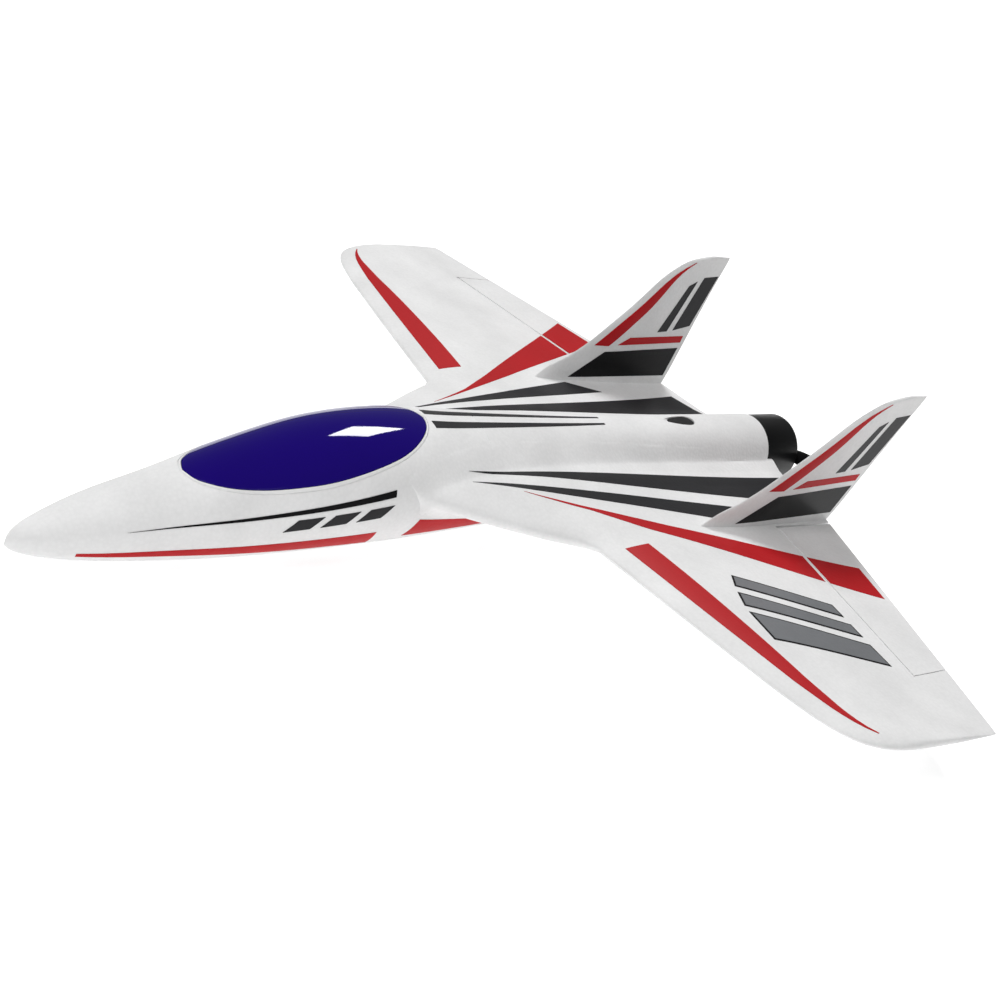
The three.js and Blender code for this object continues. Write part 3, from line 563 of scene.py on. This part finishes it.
def hatch_block(offset, low, high):
    """Cutting block with the hatch's outline, between two levels measured from the sill line."""
    sills = [deck(x, y) for x, y in hatch_ring(0)]
    ring = hatch_ring(offset)
    return lofted("hatch_block", [[(x, y, sill + level) for (x, y), sill in zip(ring, sills)]
                                  for level in (low, high)])


def half_hull(name, inset=0.0, floor=SKID["height"], first=0, last=HULL_END, step=8, inner=0.02):
    """Port half of the fuselage's form, closed by a flat wall beside the centre line."""
    stations = spaced(first, last, step)
    if inset == 0:
        stations += [0.6, 1.5, 3, 4.5, 6, 9, 11, 14, 20]
        stations += [SEAM_STATION - 0.6, SEAM_STATION, SEAM_STATION + 0.6]
    rings = []
    for station in sorted(set(stations)):
        ring = []
        for i in range(37):
            x, y, z = hull_point(station, math.pi * i / 36, inset, floor)
            ring.append((max(x, inner), y, z))
        rings.append(ring)
    return lofted(name, rings)


def intake_form(name, ramp, lid, shrink=1.0):
    """Form of the intake, pointed in front and round behind, between its floor and a lid."""
    rings = []
    for t in ramp:
        y = lerp(INTAKE["start"], INTAKE["end"], t)
        width = lerp(INTAKE_NOSE, 1, math.sin(math.pi / 2 * min(1, t / INTAKE_WIDEST)))
        width *= INTAKE["half_width"]
        width *= shrink * math.sqrt(max(0.05, 1 - (max(0, t - INTAKE_ROUND) / 0.185) ** 2))
        floor = top_at(y) + 0.2 - INTAKE["depth"] * t**1.3
        high = top_at(y) + lid(t)
        arc = [(x, y, min(high - 0.1, floor + 0.35 * width * (x / width) ** 4))
               for x in spaced(-width, width, width / 5)]
        rings.append([(-width, y, high), *arc, (width, y, high)])
    return lofted(name, rings)


def bar_y(name, radius, first, last, sides=48):
    """Round bar along the thrust line."""
    rings = [[(radius * math.sin(a), y, THRUST_HEIGHT + radius * math.cos(a))
              for a in [2 * math.pi * i / sides for i in range(sides)]] for y in (first, last)]
    return lofted(name, rings)


def fuselage():
    shell = half_hull("fuselage_left_foam")
    carve(shell, half_hull("hollow_shade", WALL, FLOOR, CAVITY["start"], CAVITY["end"], 12, -5))
    carve(shell, hatch_block(FRAME_RIM + GAP, -FRAME_BOTTOM - GAP, 60))
    carve(shell, hatch_block(-LEDGE_WIDTH, -45, 60))
    carve(shell, intake_form("intake_space", (0, 0.1, 0.25, 0.4, *INTAKE_REAR, 1), lambda t: 12))
    carve(shell, bar_y("socket", SOCKET["radius"], SOCKET["start"], SOCKET["end"]))
    tidy_mesh(shell, 30)
    dress_pair(shell, "fuselage_foam", "airframe", FOAM, "fuselage")

    # Black lining in the intake's deep rear end: painted shade, standing in for the shadow inside the
    # recess.
    shade_lining = intake_form("intake_shade_lining", (0.27, 0.4, *INTAKE_REAR, 0.995), lambda t: t - 2.3, 0.97)
    dress(shade_lining, "airframe", BLACK_PLASTIC)

    width, length = SKID["width"] / 2, SKID["length"]
    rings = []
    for end, narrow in ((-0.5, 0.6), (-0.48, 1), (0.48, 1), (0.5, 0.6)):
        y = SKID["station"] + end * length
        w = width * narrow
        low = keel_at(y)
        rings.append([(-w, y, low + 3), (-w, y, low + 0.15), (-w + 0.5, y, low), (w - 0.5, y, low),
                      (w, y, low + 0.15), (w, y, low + 3)])
    dress(lofted("belly_skid", rings), "airframe", FOAM)


EDGE_DROP = 0.35                        # how far the canopy shell's edge is rounded down


def canopy():
    """Domed shell, its edge rounded down to meet the foam frame."""
    outline = hatch_outline(-0.15, 40)
    columns = 24
    skins = []
    for inset in (0.0, CANOPY_SKIN):
        for row, (half, y) in enumerate(outline):
            for i in range(columns + 1):
                u = math.sin(math.pi / 2 * (2 * i / columns - 1))
                x = half * u
                z = deck(x, y) - inset
                if inset == 0 and (i in (0, columns) or row in (0, len(outline) - 1)):
                    z -= EDGE_DROP
                skins.append((x, y, z))
    faces = []
    wide = columns + 1
    layer = wide * len(outline)
    for row in range(len(outline) - 1):
        for i in range(columns):
            a = row * wide + i
            faces.append((a, a + 1, a + 1 + wide, a + wide))
            faces.append((a + layer, a + wide + layer, a + 1 + wide + layer, a + 1 + layer))
    rim = [row * wide for row in range(len(outline))]
    rim += [(len(outline) - 1) * wide + i for i in range(1, wide)]
    rim += [row * wide + columns for row in range(len(outline) - 2, -1, -1)]
    rim += [i for i in range(columns - 1, 0, -1)]
    faces += [(a, b, b + layer, a + layer) for a, b in zip(rim, rim[1:] + rim[:1])]
    shell = add_mesh("canopy_gloss_shell", skins, faces, 50)
    tidy_mesh(shell, 50, 2e-5)
    dress(shell, "canopy", CANOPY, ("canopy_shell",))

    sills = [deck(x, y) for x, y in hatch_ring(0, 44)]
    profile = [(GAP, None), (FRAME_RIM - 0.4, None), (FRAME_RIM, -0.4), (FRAME_RIM, -FRAME_BOTTOM),
               (-FRAME_WIDTH, -FRAME_BOTTOM), (-FRAME_WIDTH, -FRAME_TOP), (GAP, -FRAME_TOP)]
    rings = []
    for offset, level in profile:
        ring = hatch_ring(offset, 44)
        rings.append([(x, y, (deck(x, y) if level in (None, -0.4) else sill) + (level or 0))
                      for (x, y), sill in zip(ring, sills)])
    dress(lofted("canopy_foam_frame", rings, 35, capped=False), "canopy", FOAM, ("canopy_frame",))


# ---------------------------------------------------------------- wings and fins


def root_x(s):
    """Where a wing's chord line enters the fuselage skin, deep enough to hide its end."""
    low, high = 18.0, 70.0
    for _ in range(24):
        x = (low + high) / 2
        station = lerp(lead_at(x), trail_at(x), s)
        middle, half = wing_at(x, s)
        if deck(x, station) - middle - half > 1.35 * FILLET:
            low = x
        else:
            high = x
    return (low + high) / 2


def wing_solid(name):
    """Port wing panel with its elevon still part of it."""
    near = PANEL_START - PANEL_SHIFT
    spans = spaced(0, 48, 1.5) + spaced(51, near, 4) + spaced(112, TIP_CURVE - PANEL_SHIFT, 12)
    spans += spaced(TIP_CURVE - 15, 365, 3)
    spans += [366 + 5.3 * math.sin(math.pi / 2 * i / 8) for i in range(1, 9)]
    steps = 40
    rings = []
    for span in sorted(set(spans)):
        top, under = [], []
        for i in range(steps + 1):
            s = (1 - math.cos(math.pi * i / steps)) / 2
            root = root_x(s)
            x = root + span * (PANEL_START - root) / near if span < near else span + PANEL_SHIFT
            station = lerp(lead_at(x), trail_at(x), s)
            middle, half = wing_at(x, s)
            edge = clamp((WING_TIP - x) / 3, 0, 1) ** 0.5
            half *= lerp(0.35, 1, edge)
            top.append((x, station, blended(middle + half, deck(x, station), 1, station)))
            under.append((x, station, blended(middle - half, belly(x, station), -1, station)))
        rings.append(top + under[-1:0:-1])
    return lofted(name, rings)


def elevon_block(root, tip, groove=0):
    outline = [(root, hinge_station_at(root) + groove), (tip, hinge_station_at(tip) + groove), (tip, 660),
               (root, 760)]
    return lofted("elevon_block", [[(x, y, z) for x, y in outline] for z in (-60, 60)])


def hinge_bar(root, tip, grow):
    """Tapered round nose on the hinge line, its ends square to x."""
    rings = []
    for x in spaced(root, tip, 10):
        height, radius = hinge_at(x)
        slope = (HINGE_TIP[1] - HINGE_ROOT[1]) / (HINGE_TIP[0] - HINGE_ROOT[0])
        reach = (radius + grow) * math.hypot(1, slope)
        rings.append([(x, hinge_station_at(x) + reach * math.cos(a), height + (radius + grow) * math.sin(a))
                      for a in [2 * math.pi * i / 40 for i in range(40)]])
    return lofted("hinge_bar", rings)


def wings():
    panel = wing_solid("wing_left_foam")
    elevon = bpy.data.objects.new("elevon_left_foam", panel.data.copy())
    bpy.context.scene.collection.objects.link(elevon)
    carve(panel, elevon_block(ELEVON_ROOT - ELEVON_ROOT_GAP, ELEVON_TIP + ELEVON_TIP_GAP))
    carve(panel, hinge_bar(ELEVON_ROOT - ELEVON_ROOT_GAP, ELEVON_TIP + ELEVON_TIP_GAP, HINGE_GAP))
    open_servo_pocket(panel)
    tidy_mesh(panel, 30)
    dress_pair(panel, "wing_foam", "airframe", FOAM, "wing")

    carve(elevon, elevon_block(ELEVON_ROOT, ELEVON_TIP, HINGE_GROOVE), "INTERSECT")
    carve(elevon, hinge_bar(ELEVON_ROOT, ELEVON_TIP, -HINGE_SINK), "UNION")
    tidy_mesh(elevon, 30)
    dress_pair(elevon, "elevon_foam", "elevon", FOAM, "elevon")


def box_tool(name, low, high):
    """Cutting box between two corners in the row frame, in metres."""
    mesh = bpy.data.meshes.new(name)
    piece = bpy.data.objects.new(name, mesh)
    bpy.context.scene.collection.objects.link(piece)
    corners = [(x, y, z) for x in (low[0], high[0]) for y in (low[1], high[1]) for z in (low[2], high[2])]
    mesh.from_pydata(corners, [], [(0, 1, 3, 2), (4, 6, 7, 5), (0, 4, 5, 1), (2, 3, 7, 6), (0, 2, 6, 4),
                                   (1, 5, 7, 3)])
    tidy_mesh(piece)
    return piece


def open_servo_pocket(panel):
    """Opens the wing's underside round the servo and its arm."""
    margin = 0.0004
    low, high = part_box("servo_left")
    arm_low, arm_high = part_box("servo_arm_left")
    depth = -0.03
    carve(panel, box_tool("servo_space", (low.x - margin, low.y - margin, depth),
                          high + Vector((margin,) * 3)))
    carve(panel, box_tool("arm_space", (arm_low.x - 0.002, arm_low.y - 0.003, depth),
                          (arm_high.x + 0.006, arm_high.y + 0.005, high.z + margin)))


def fins():
    heights = [FIN_LOWEST] + [row[0] for row in FIN]
    heights += spaced(FIN_FOOT_HEIGHT, 127, 6) + spaced(127, FIN_TOP, 1.5)
    rings = []
    for height in sorted(set(heights)):
        lead, trail = fin_lead_at(height), fin_trail_at(height)
        edge = clamp((FIN_TOP - height) / 3, 0, 1) ** 0.5
        port, starboard = [], []
        for i in range(25):
            s = (1 - math.cos(math.pi * i / 24)) / 2
            station = lerp(lead, trail, s)
            half = fin_half(station, max(height, FIN_FOOT_HEIGHT)) * lerp(0.45, 1, edge)
            half = half if i else 0
            port.append((fin_middle(height) + half, station, height))
            starboard.append((fin_middle(height) - half, station, height))
        rings.append(port + starboard[:0:-1])
    dress_pair(lofted("fin_left_foam", rings, 40), "fin_foam", "airframe", FOAM, "fin")


# ---------------------------------------------------------------- propulsion


def turned(name, outline, sides=96, smooth_angle=32):
    """Ring turned about the thrust line from a closed (radius, station) outline."""
    rings = [[(radius * math.sin(a), y, THRUST_HEIGHT + radius * math.cos(a))
              for a in [2 * math.pi * i / sides for i in range(sides)]] for radius, y in outline]
    return lofted(name, rings, smooth_angle, capped=False)


def nozzle():
    piece = turned("nozzle_ring", [
        (26, 692), (27.6, 692), (28, 692.4), (28, 705.3), (31.9, 705.3), (32.4, 706), (32.4, 748.8),
        (31.9, 750), (30.4, 750), (30, 749.4), (30, 716), (26, 709),
    ])
    dress(piece, "airframe", BLACK_PLASTIC, ("nozzle",))


def blade_ring(radius, chord, thickness, twist):
    angle = math.radians(twist)
    ring = []
    for i in range(20):
        a = 2 * math.pi * i / 20
        across = -0.5 * math.cos(a)
        up = (0.74 if math.sin(a) > 0 else 0.26) * math.sin(a) * (1 - 0.5 * across)
        u, v = across * chord, up * thickness
        ring.append((radius, u * math.sin(angle) - v * math.cos(angle),
                     u * math.cos(angle) + v * math.sin(angle)))
    return ring


def propeller():
    sections = [(4, 7, 4.6, 48), (12, 9, 3.6, 42), (24, 13, 2.6, 33), (38, 14.5, 2, 25), (52, 12.5, 1.6, 19),
                (63, 8.5, 1.2, 16), (70, 3, 0.8, 14)]
    curves = [through(sections, column) for column in (1, 2, 3)]
    roll = math.radians(9)
    hub = [(PROPELLER_BORE, -3.7), (6.4, -3.7), (7, -3.1), (7, 3.1), (6.4, 3.7), (PROPELLER_BORE, 3.7)]
    whole = None
    for turn in (0, math.pi):
        rings = []
        for radius in spaced(4, 63, 3) + spaced(64, 70, 1):
            ring = blade_ring(radius, *[curve(radius) for curve in curves])
            a = turn - roll
            rings.append([(x * math.cos(a) + z * math.sin(a), y + PROPELLER_STATION,
                           THRUST_HEIGHT + z * math.cos(a) - x * math.sin(a)) for x, y, z in ring])
        half = lofted("blade", rings, 40)
        whole = half if whole is None else carve(whole, half, "UNION")
    ring = turned("propeller_blades", [(r, y + PROPELLER_STATION) for r, y in hub], 48)
    carve(ring, whole, "UNION")
    carve(ring, bar_y("bore", PROPELLER_BORE, 750, 775))
    tidy_mesh(ring, 35)
    dress(ring, "rotor", BLACK_PLASTIC, ("propeller",))


def motor():
    can = turned("motor_can", [
        (12.6, 718), (13.7, 718), (14, 718.3), (14, 722), (13.8, 722.4), (14, 722.8), (14, 737.5),
        (13.4, 739.4), (12, 741), (9, 742), (4.5, 742.5), (1.8, 742.5), (1.8, 739), (12.6, 738),
    ], 64)
    ring, hole = 8, 2.3                 # radii of the circle of cooling holes and of each hole
    for i in range(6):
        a = math.pi * i / 3
        rings = []
        for y in (735, 745):
            rings.append([(ring * math.cos(a) + hole * math.sin(b), y,
                           THRUST_HEIGHT + ring * math.sin(a) + hole * math.cos(b))
                          for b in [2 * math.pi * k / 20 for k in range(20)]])
        carve(can, lofted("window", rings))
    tidy_mesh(can, 32)
    dress(can, "rotor", ALLOY, ("motor_bell",))
    cone = turned("collet_cone", [
        (1.8, 744), (4.4, 744), (4.7, 744.4), (5.6, 750), (6.8, 753.8), (7, 754.2), (7, 756.8), (6.8, 757),
        (2.5, 757), (2.5, 770.8), (2, 771.5), (0.6, 771.5), (0.6, 754), (1.8, 754),
    ], 48)
    dress(cone, "rotor", ALLOY, ("prop_adapter",))


# ---------------------------------------------------------------- pieces kept from the CAD model

KEPT = {
    "main_spar": CARBON, "rear_spar": CARBON, "motor_mount": BLACK_PLASTIC, "motor_stator": COPPER,
    "motor_shaft": STEEL, "prop_nut": STEEL, "battery_strap": STRAP,
    "canopy_magnet_front": STEEL, "canopy_magnet_rear": STEEL,
    "fuselage_magnet_front": STEEL, "fuselage_magnet_rear": STEEL,
    **{f"motor_screw_{i}": STEEL for i in (1, 2, 3, 4)},
    **{f"servo_{side}": BLACK_PLASTIC for side in ("left", "right")},
    **{f"servo_arm_{side}": NYLON for side in ("left", "right")},
    **{f"pushrod_{side}": STEEL for side in ("left", "right")},
    **{f"elevon_horn_{side}": BLACK_PLASTIC for side in ("left", "right")},
}


def block(node, material, rounding):
    """Rounded block that fills a CAD node's box."""
    low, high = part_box(node)
    piece = soften(box_tool(f"{node}_case", low, high), rounding, 3)
    return dress(piece, "airframe", material, (node,))


def panel_on(node, name, material, first, last, side=0.8, rise=0.5):
    """Raised plate on top of a node's box, between two fractions of its length."""
    low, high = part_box(node)
    middle = (low.x + high.x) / 2
    half = side * (high.x - low.x) / 2
    piece = box_tool(name, (middle - half, lerp(low.y, high.y, first), high.z - 0.001),
                     (middle + half, lerp(low.y, high.y, last), high.z + rise / 1000))
    return dress(soften(piece, 0.3), "airframe", material)


def equipment():
    """Battery, receiver and speed controller on their tray, under the canopy."""
    block("battery", WRAP, 3.5)
    panel_on("battery", "battery_plain_label", NYLON, 0.68, 0.93, 0.7, 0.25)
    panel_on("battery", "battery_end_cap", BLACK_PLASTIC, 0.02, 0.07, 0.7, 0.25)
    block("receiver", BLACK_PLASTIC, 1.2)
    panel_on("receiver", "receiver_plain_label", SILVER, 0.12, 0.6, 0.75, 0.2)
    for i in range(6):
        at = lerp(0.68, 0.92, i / 5)
        panel_on("receiver", f"receiver_pins_{i + 1}", ALLOY, at, at + 0.02, 0.6, 1.6)
    block("speed_controller", WRAP, 1.6)
    for i in range(7):
        at = lerp(0.14, 0.8, i / 6)
        panel_on("speed_controller", f"heat_sink_fin_{i + 1}", ALLOY, at, at + 0.025, 0.7, 2.4)
    low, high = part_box("battery_tray")
    tray = box_tool("battery_tray_ply", low, high)
    for at in (0.12, 0.5, 0.88):
        middle = lerp(low.y, high.y, at)
        carve(tray, box_tool("slot", (-0.008, middle - 0.004, low.z - 1),
                             (0.008, middle + 0.004, high.z + 1)))
    dress(soften(tray, 0.4), "airframe", PLYWOOD, ("battery_tray",))


def kept_nodes():
    for name, material in KEPT.items():
        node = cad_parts[name]
        node.data.materials.clear()
        node.data.materials.append(material)


# ---------------------------------------------------------------- decals


def inside(point, outline):
    x, y = point
    odd = False
    for (xa, ya), (xb, yb) in zip(outline, outline[1:] + outline[:1]):
        if (ya > y) != (yb > y) and x < xa + (y - ya) * (xb - xa) / (yb - ya):
            odd = not odd
    return odd


def near_edge(point, outline, reach):
    p = Vector(point)
    for a, b in zip(outline, outline[1:] + outline[:1]):
        a, b = Vector(a), Vector(b)
        t = clamp((p - a).dot(b - a) / max((b - a).length_squared, 1e-9), 0, 1)
        if (a + (b - a) * t - p).length < reach:
            return True
    return False


def subdivided(outline, step):
    points = []
    for (xa, ya), (xb, yb) in zip(outline, outline[1:] + outline[:1]):
        count = max(1, math.ceil(math.hypot(xb - xa, yb - ya) / step))
        points += [(lerp(xa, xb, i / count), lerp(ya, yb, i / count)) for i in range(count)]
    return points


def inset_outline(outline, border):
    """A convex outline with every side moved inwards by a border."""
    points = [Vector(p) for p in outline]
    middle = sum(points, Vector((0, 0))) / len(points)
    lines = []
    for a, b in zip(points, points[1:] + points[:1]):
        across = (b - a).orthogonal().normalized()
        across *= math.copysign(border, across.dot(middle - a))
        lines.append((a + across, b + across))
    corners = []
    for (a, b), (c, d) in zip(lines[-1:] + lines[:-1], lines):
        run, other = b - a, d - c
        t = (c - a).cross(other) / run.cross(other)
        corners.append(tuple(a + run * t))
    return corners


def clipped(outline, keep):
    """The part of an outline where keep(x, y) is positive; keep is a straight line's distance."""
    kept = []
    for a, b in zip(outline, outline[1:] + outline[:1]):
        da, db = keep(*a), keep(*b)
        if da >= 0:
            kept.append(a)
        if (da >= 0) != (db >= 0):
            t = da / (da - db)
            kept.append((lerp(a[0], b[0], t), lerp(a[1], b[1], t)))
    return kept


def sticker(name, outline, surface, body, material, facing=1, lift=0.28, step=3.6):
    """Thin film cut to an outline and laid on surface(u, v), which gives a point in the airframe's axes.
    facing is 1 where the outside lies along the cross product of u and v, and -1 against it."""
    edge = subdivided(outline, step)
    us = [u for u, _ in edge]
    vs = [v for _, v in edge]
    grid = []
    for i in range(int((max(us) - min(us)) / step) + 1):
        for j in range(int((max(vs) - min(vs)) / step) + 1):
            p = (min(us) + (i + 0.5 * (j % 2) + 0.3) * step, min(vs) + (j + 0.3) * step)
            if inside(p, outline) and not near_edge(p, outline, 0.45 * step):
                grid.append(p)
    flat = [Vector(p) for p in edge + grid]
    ring = [(i, (i + 1) % len(edge)) for i in range(len(edge))]
    cut = geometry.delaunay_2d_cdt(flat, ring, [tuple(range(len(edge)))], 1, 1e-5)
    corners, faces = cut[0], [tuple(f) for f in cut[2]]
    reach = 0.4
    low, high = [], []
    for u, v in corners:
        here = Vector(surface(u, v))
        along = Vector(surface(u + reach, v)) - Vector(surface(u - reach, v))
        across = Vector(surface(u, v + reach)) - Vector(surface(u, v - reach))
        normal = along.cross(across).normalized() * facing
        high.append(here + normal * lift)
        low.append(here - normal * 0.25)
    count = len(corners)
    edges = {}
    for face in faces:
        for a, b in zip(face, face[1:] + face[:1]):
            edges[(a, b)] = True
    walls = [(a, b, b + count, a + count) for a, b in edges if (b, a) not in edges]
    under = [tuple(i + count for i in reversed(face)) for face in faces]
    piece = add_mesh(name, [tuple(p) for p in high + low], faces + under + walls, 30)
    return dress(piece, body, material)


def edge_band(lead, low, high, front, rear, step=8):
    """Band behind a leading edge, as (place along it, station), that narrows to its far end."""
    places = spaced(low, high, step)
    ahead = [(p, lead(p) + front) for p in places]
    behind = [(p, lead(p) + lerp(rear, front + 1, ((p - low) / (high - low)) ** 2)) for p in places]
    return ahead + behind[::-1]


WING_FILMS = {                          # x, station; the same on both wings
    "edge_band": (RED, edge_band(lead_at, 136, 366, 16, 40)),
    "middle_band": (RED, [(66, 372), (92, 424), (234, 648), (192, 663)]),
    "inner_band": (GREY, [(52, 330), (68, 392), (112, 560), (96, 596)]),
    "root_band": (GREY, [(44, 330), (52, 400), (92, 690), (56, 702)]),
}
WING_BARS = [                           # swept bars on the port wing
    [(229, 476), (262, 471), (309, 562), (283, 566)],
    [(206, 486), (222, 478), (274, 568), (258, 571)],
    [(186, 499), (199, 490), (249, 573), (233, 576)],
]
FIN_FILMS = {                           # station, height
    "edge_band": (RED, [(y, z) for z, y in edge_band(fin_lead_at, 46, 134, 9, 27, 6)]),
    "foot_band": (INK, [(566, 14), (698, 14), (705, 44), (604, 40)]),
    "middle_band": (RED, [(618, 47), (706, 50), (707, 57), (632, 55)]),
    "wide_bar": (GREY, [(688, 63), (711, 68), (727, 121), (707, 119)]),
    "narrow_bar": (GREY, [(667, 61), (680, 62), (699, 115), (689, 110)]),
}
FLANK_FILMS = {                         # station, height
    "upper_line": (INK, [(70, -20), (262, 18), (262, 13)]),
    "nose_band": (RED, [(40, -38), (255, -18), (255, -33), (40, -41)]),
    "rear_band": (RED, [(290, -8), (380, -20), (380, -27), (284, -27)]),
    **{f"slash_{i + 1}": (GREY, [(176 + 28 * i, -14 + 4 * i), (196 + 28 * i, -11 + 4 * i),
                                 (206 + 28 * i, -1 + 4 * i), (186 + 28 * i, -4 + 4 * i)]) for i in range(3)},
}
SPINE = [(5, 312), (13, 312), (6, 500), (4, 500)]


def on_wing(x, y):
    return x, y, max(wing_top(x, y), deck(x, y))


def hinge_line(x, y, shift):
    """Distance ahead of the hinge line, after moving the line forward by shift."""
    return hinge_station_at(abs(x)) - shift - y


def wing_decals(side, sign):
    """Lays films on one wing; one that crosses the hinge is cut there, its rear part on the elevon."""
    for name, (material, corners) in WING_FILMS.items():
        outline = [(sign * x, y) for x, y in corners]
        outboard = [p for p in outline if ELEVON_ROOT < abs(p[0]) < ELEVON_TIP]
        if any(hinge_line(x, y, 0) < -4 for x, y in outboard):
            front = clipped(outline, lambda x, y: hinge_line(x, y, 2.9))
            rear = clipped(outline, lambda x, y: -hinge_line(x, y, -HINGE_GROOVE - 0.5))
            sticker(f"film_{side}_{name}_elevon", rear, on_wing, f"elevon_{side}", material)
            outline = front
        sticker(f"film_{side}_{name}", outline, on_wing, "airframe", material)


def fin_decals():
    for side, sign in (("left", 1), ("right", -1)):
        for face, outward in (("port", 1), ("starboard", -1)):
            def on_fin(y, z, sign=sign, outward=outward):
                return sign * fin_middle(z) + outward * fin_half(y, z), y, z
            for name, (material, outline) in FIN_FILMS.items():
                sticker(f"film_fin_{side}_{face}_{name}", outline, on_fin, "airframe", material, outward)


def body_decals():
    for side, sign in (("left", 1), ("right", -1)):
        for name, (material, outline) in FLANK_FILMS.items():
            sticker(f"film_{side}_{name}", outline, lambda y, z, sign=sign: (sign * side_at(y, z), y, z),
                    "airframe", material, sign, step=3)
        sticker(f"film_spine_{side}", [(sign * x, y) for x, y in SPINE],
                lambda x, y: (x, y, deck(x, y)), "airframe", GREY)


def decals():
    wing_decals("left", 1)
    for i, bar in enumerate(WING_BARS):
        sticker(f"film_left_bar_{i + 1}_edge", bar, on_wing, "airframe", INK)
        sticker(f"film_left_bar_{i + 1}", inset_outline(bar, 1.6), on_wing, "airframe", SILVER, lift=0.5)
    wing_decals("right", -1)
    fin_decals()
    body_decals()


kept_nodes()
fuselage()
canopy()
wings()
fins()
nozzle()
propeller()
motor()
equipment()
decals()

# ---------------------------------------------------------------- stage, camera and light

CAMERA = {                              # place in metres, angles in degrees, lens in millimetres
    "at": (0.72, -0.698, 0.5881), "azimuth": -45.452, "elevation": 29.5004, "roll": 19.7222,
    "lens": 50.44,
}


def camera():
    lens = bpy.data.cameras.new("camera")
    lens.sensor_width = 36
    lens.lens = CAMERA["lens"]
    lens.clip_start = 0.02
    eye = bpy.data.objects.new("camera", lens)
    turn = (Matrix.Rotation(math.radians(CAMERA["azimuth"] + 90), 4, "Z")
            @ Matrix.Rotation(math.radians(90 - CAMERA["elevation"]), 4, "X")
            @ Matrix.Rotation(math.radians(CAMERA["roll"]), 4, "Z"))
    eye.matrix_world = Matrix.Translation(CAMERA["at"]) @ turn
    bpy.context.scene.collection.objects.link(eye)
    bpy.context.scene.camera = eye


def area_light(name, at, towards, size, power):
    light = bpy.data.lights.new(name, "AREA")
    light.shape = "RECTANGLE"
    light.size, light.size_y = size
    light.energy = power
    lamp = bpy.data.objects.new(name, light)
    lamp.location = at
    lamp.rotation_euler = (Vector(towards) - Vector(at)).to_track_quat("-Z", "Y").to_euler()
    bpy.context.scene.collection.objects.link(lamp)


def light_up(paper):
    """Makes the floor glow softly, more so away from the model, so that it stays evenly white."""
    tree = paper.node_tree
    shader = tree.nodes["Principled BSDF"]
    shader.inputs["Emission Color"].default_value = (1, 1, 1, 1)
    coordinates = tree.nodes.new("ShaderNodeTexCoord")
    distance = tree.nodes.new("ShaderNodeVectorMath")
    distance.operation = "LENGTH"
    glow = tree.nodes.new("ShaderNodeMapRange")
    for socket, value in {"From Min": 0.6, "From Max": 2.6, "To Min": 0.46, "To Max": 0.87}.items():
        glow.inputs[socket].default_value = value
    tree.links.new(coordinates.outputs["Object"], distance.inputs[0])
    tree.links.new(distance.outputs["Value"], glow.inputs["Value"])
    tree.links.new(glow.outputs["Result"], shader.inputs["Emission Strength"])


def studio():
    mesh = bpy.data.meshes.new("studio_floor")
    mesh.from_pydata([(-9, -9, 0), (9, -9, 0), (9, 9, 0), (-9, 9, 0)], [], [(0, 1, 2, 3)])
    floor = bpy.data.objects.new("studio_floor", mesh)
    floor.location.z = -0.0002
    bpy.context.scene.collection.objects.link(floor)
    paper = finish("studio_paper", "f4f4f4", 0.9, size=60, depth=0, mottle=0.002, specular=0.1)
    light_up(paper)
    mesh.materials.append(paper)

    world = bpy.data.worlds.new("studio_air")
    world.use_nodes = True
    world.node_tree.nodes["Background"].inputs["Color"].default_value = (1, 1, 1, 1)
    world.node_tree.nodes["Background"].inputs["Strength"].default_value = 0.16
    bpy.context.scene.world = world
    bpy.context.scene.view_settings.view_transform = "Standard"
    area_light("window_softbox", (-2.08, 2.15, 4.02), (0.012, -0.138, 0.097), (1.2, 1.2), 135)
    area_light("front_softbox", (0.3, -1.7, 2.6), (0, -0.1, 0), (1.6, 1.6), 46)
    area_light("fill_softbox", (1.9, -0.9, 1.0), (0, 0, 0.05), (1.6, 1.6), 5)


camera()
studio()
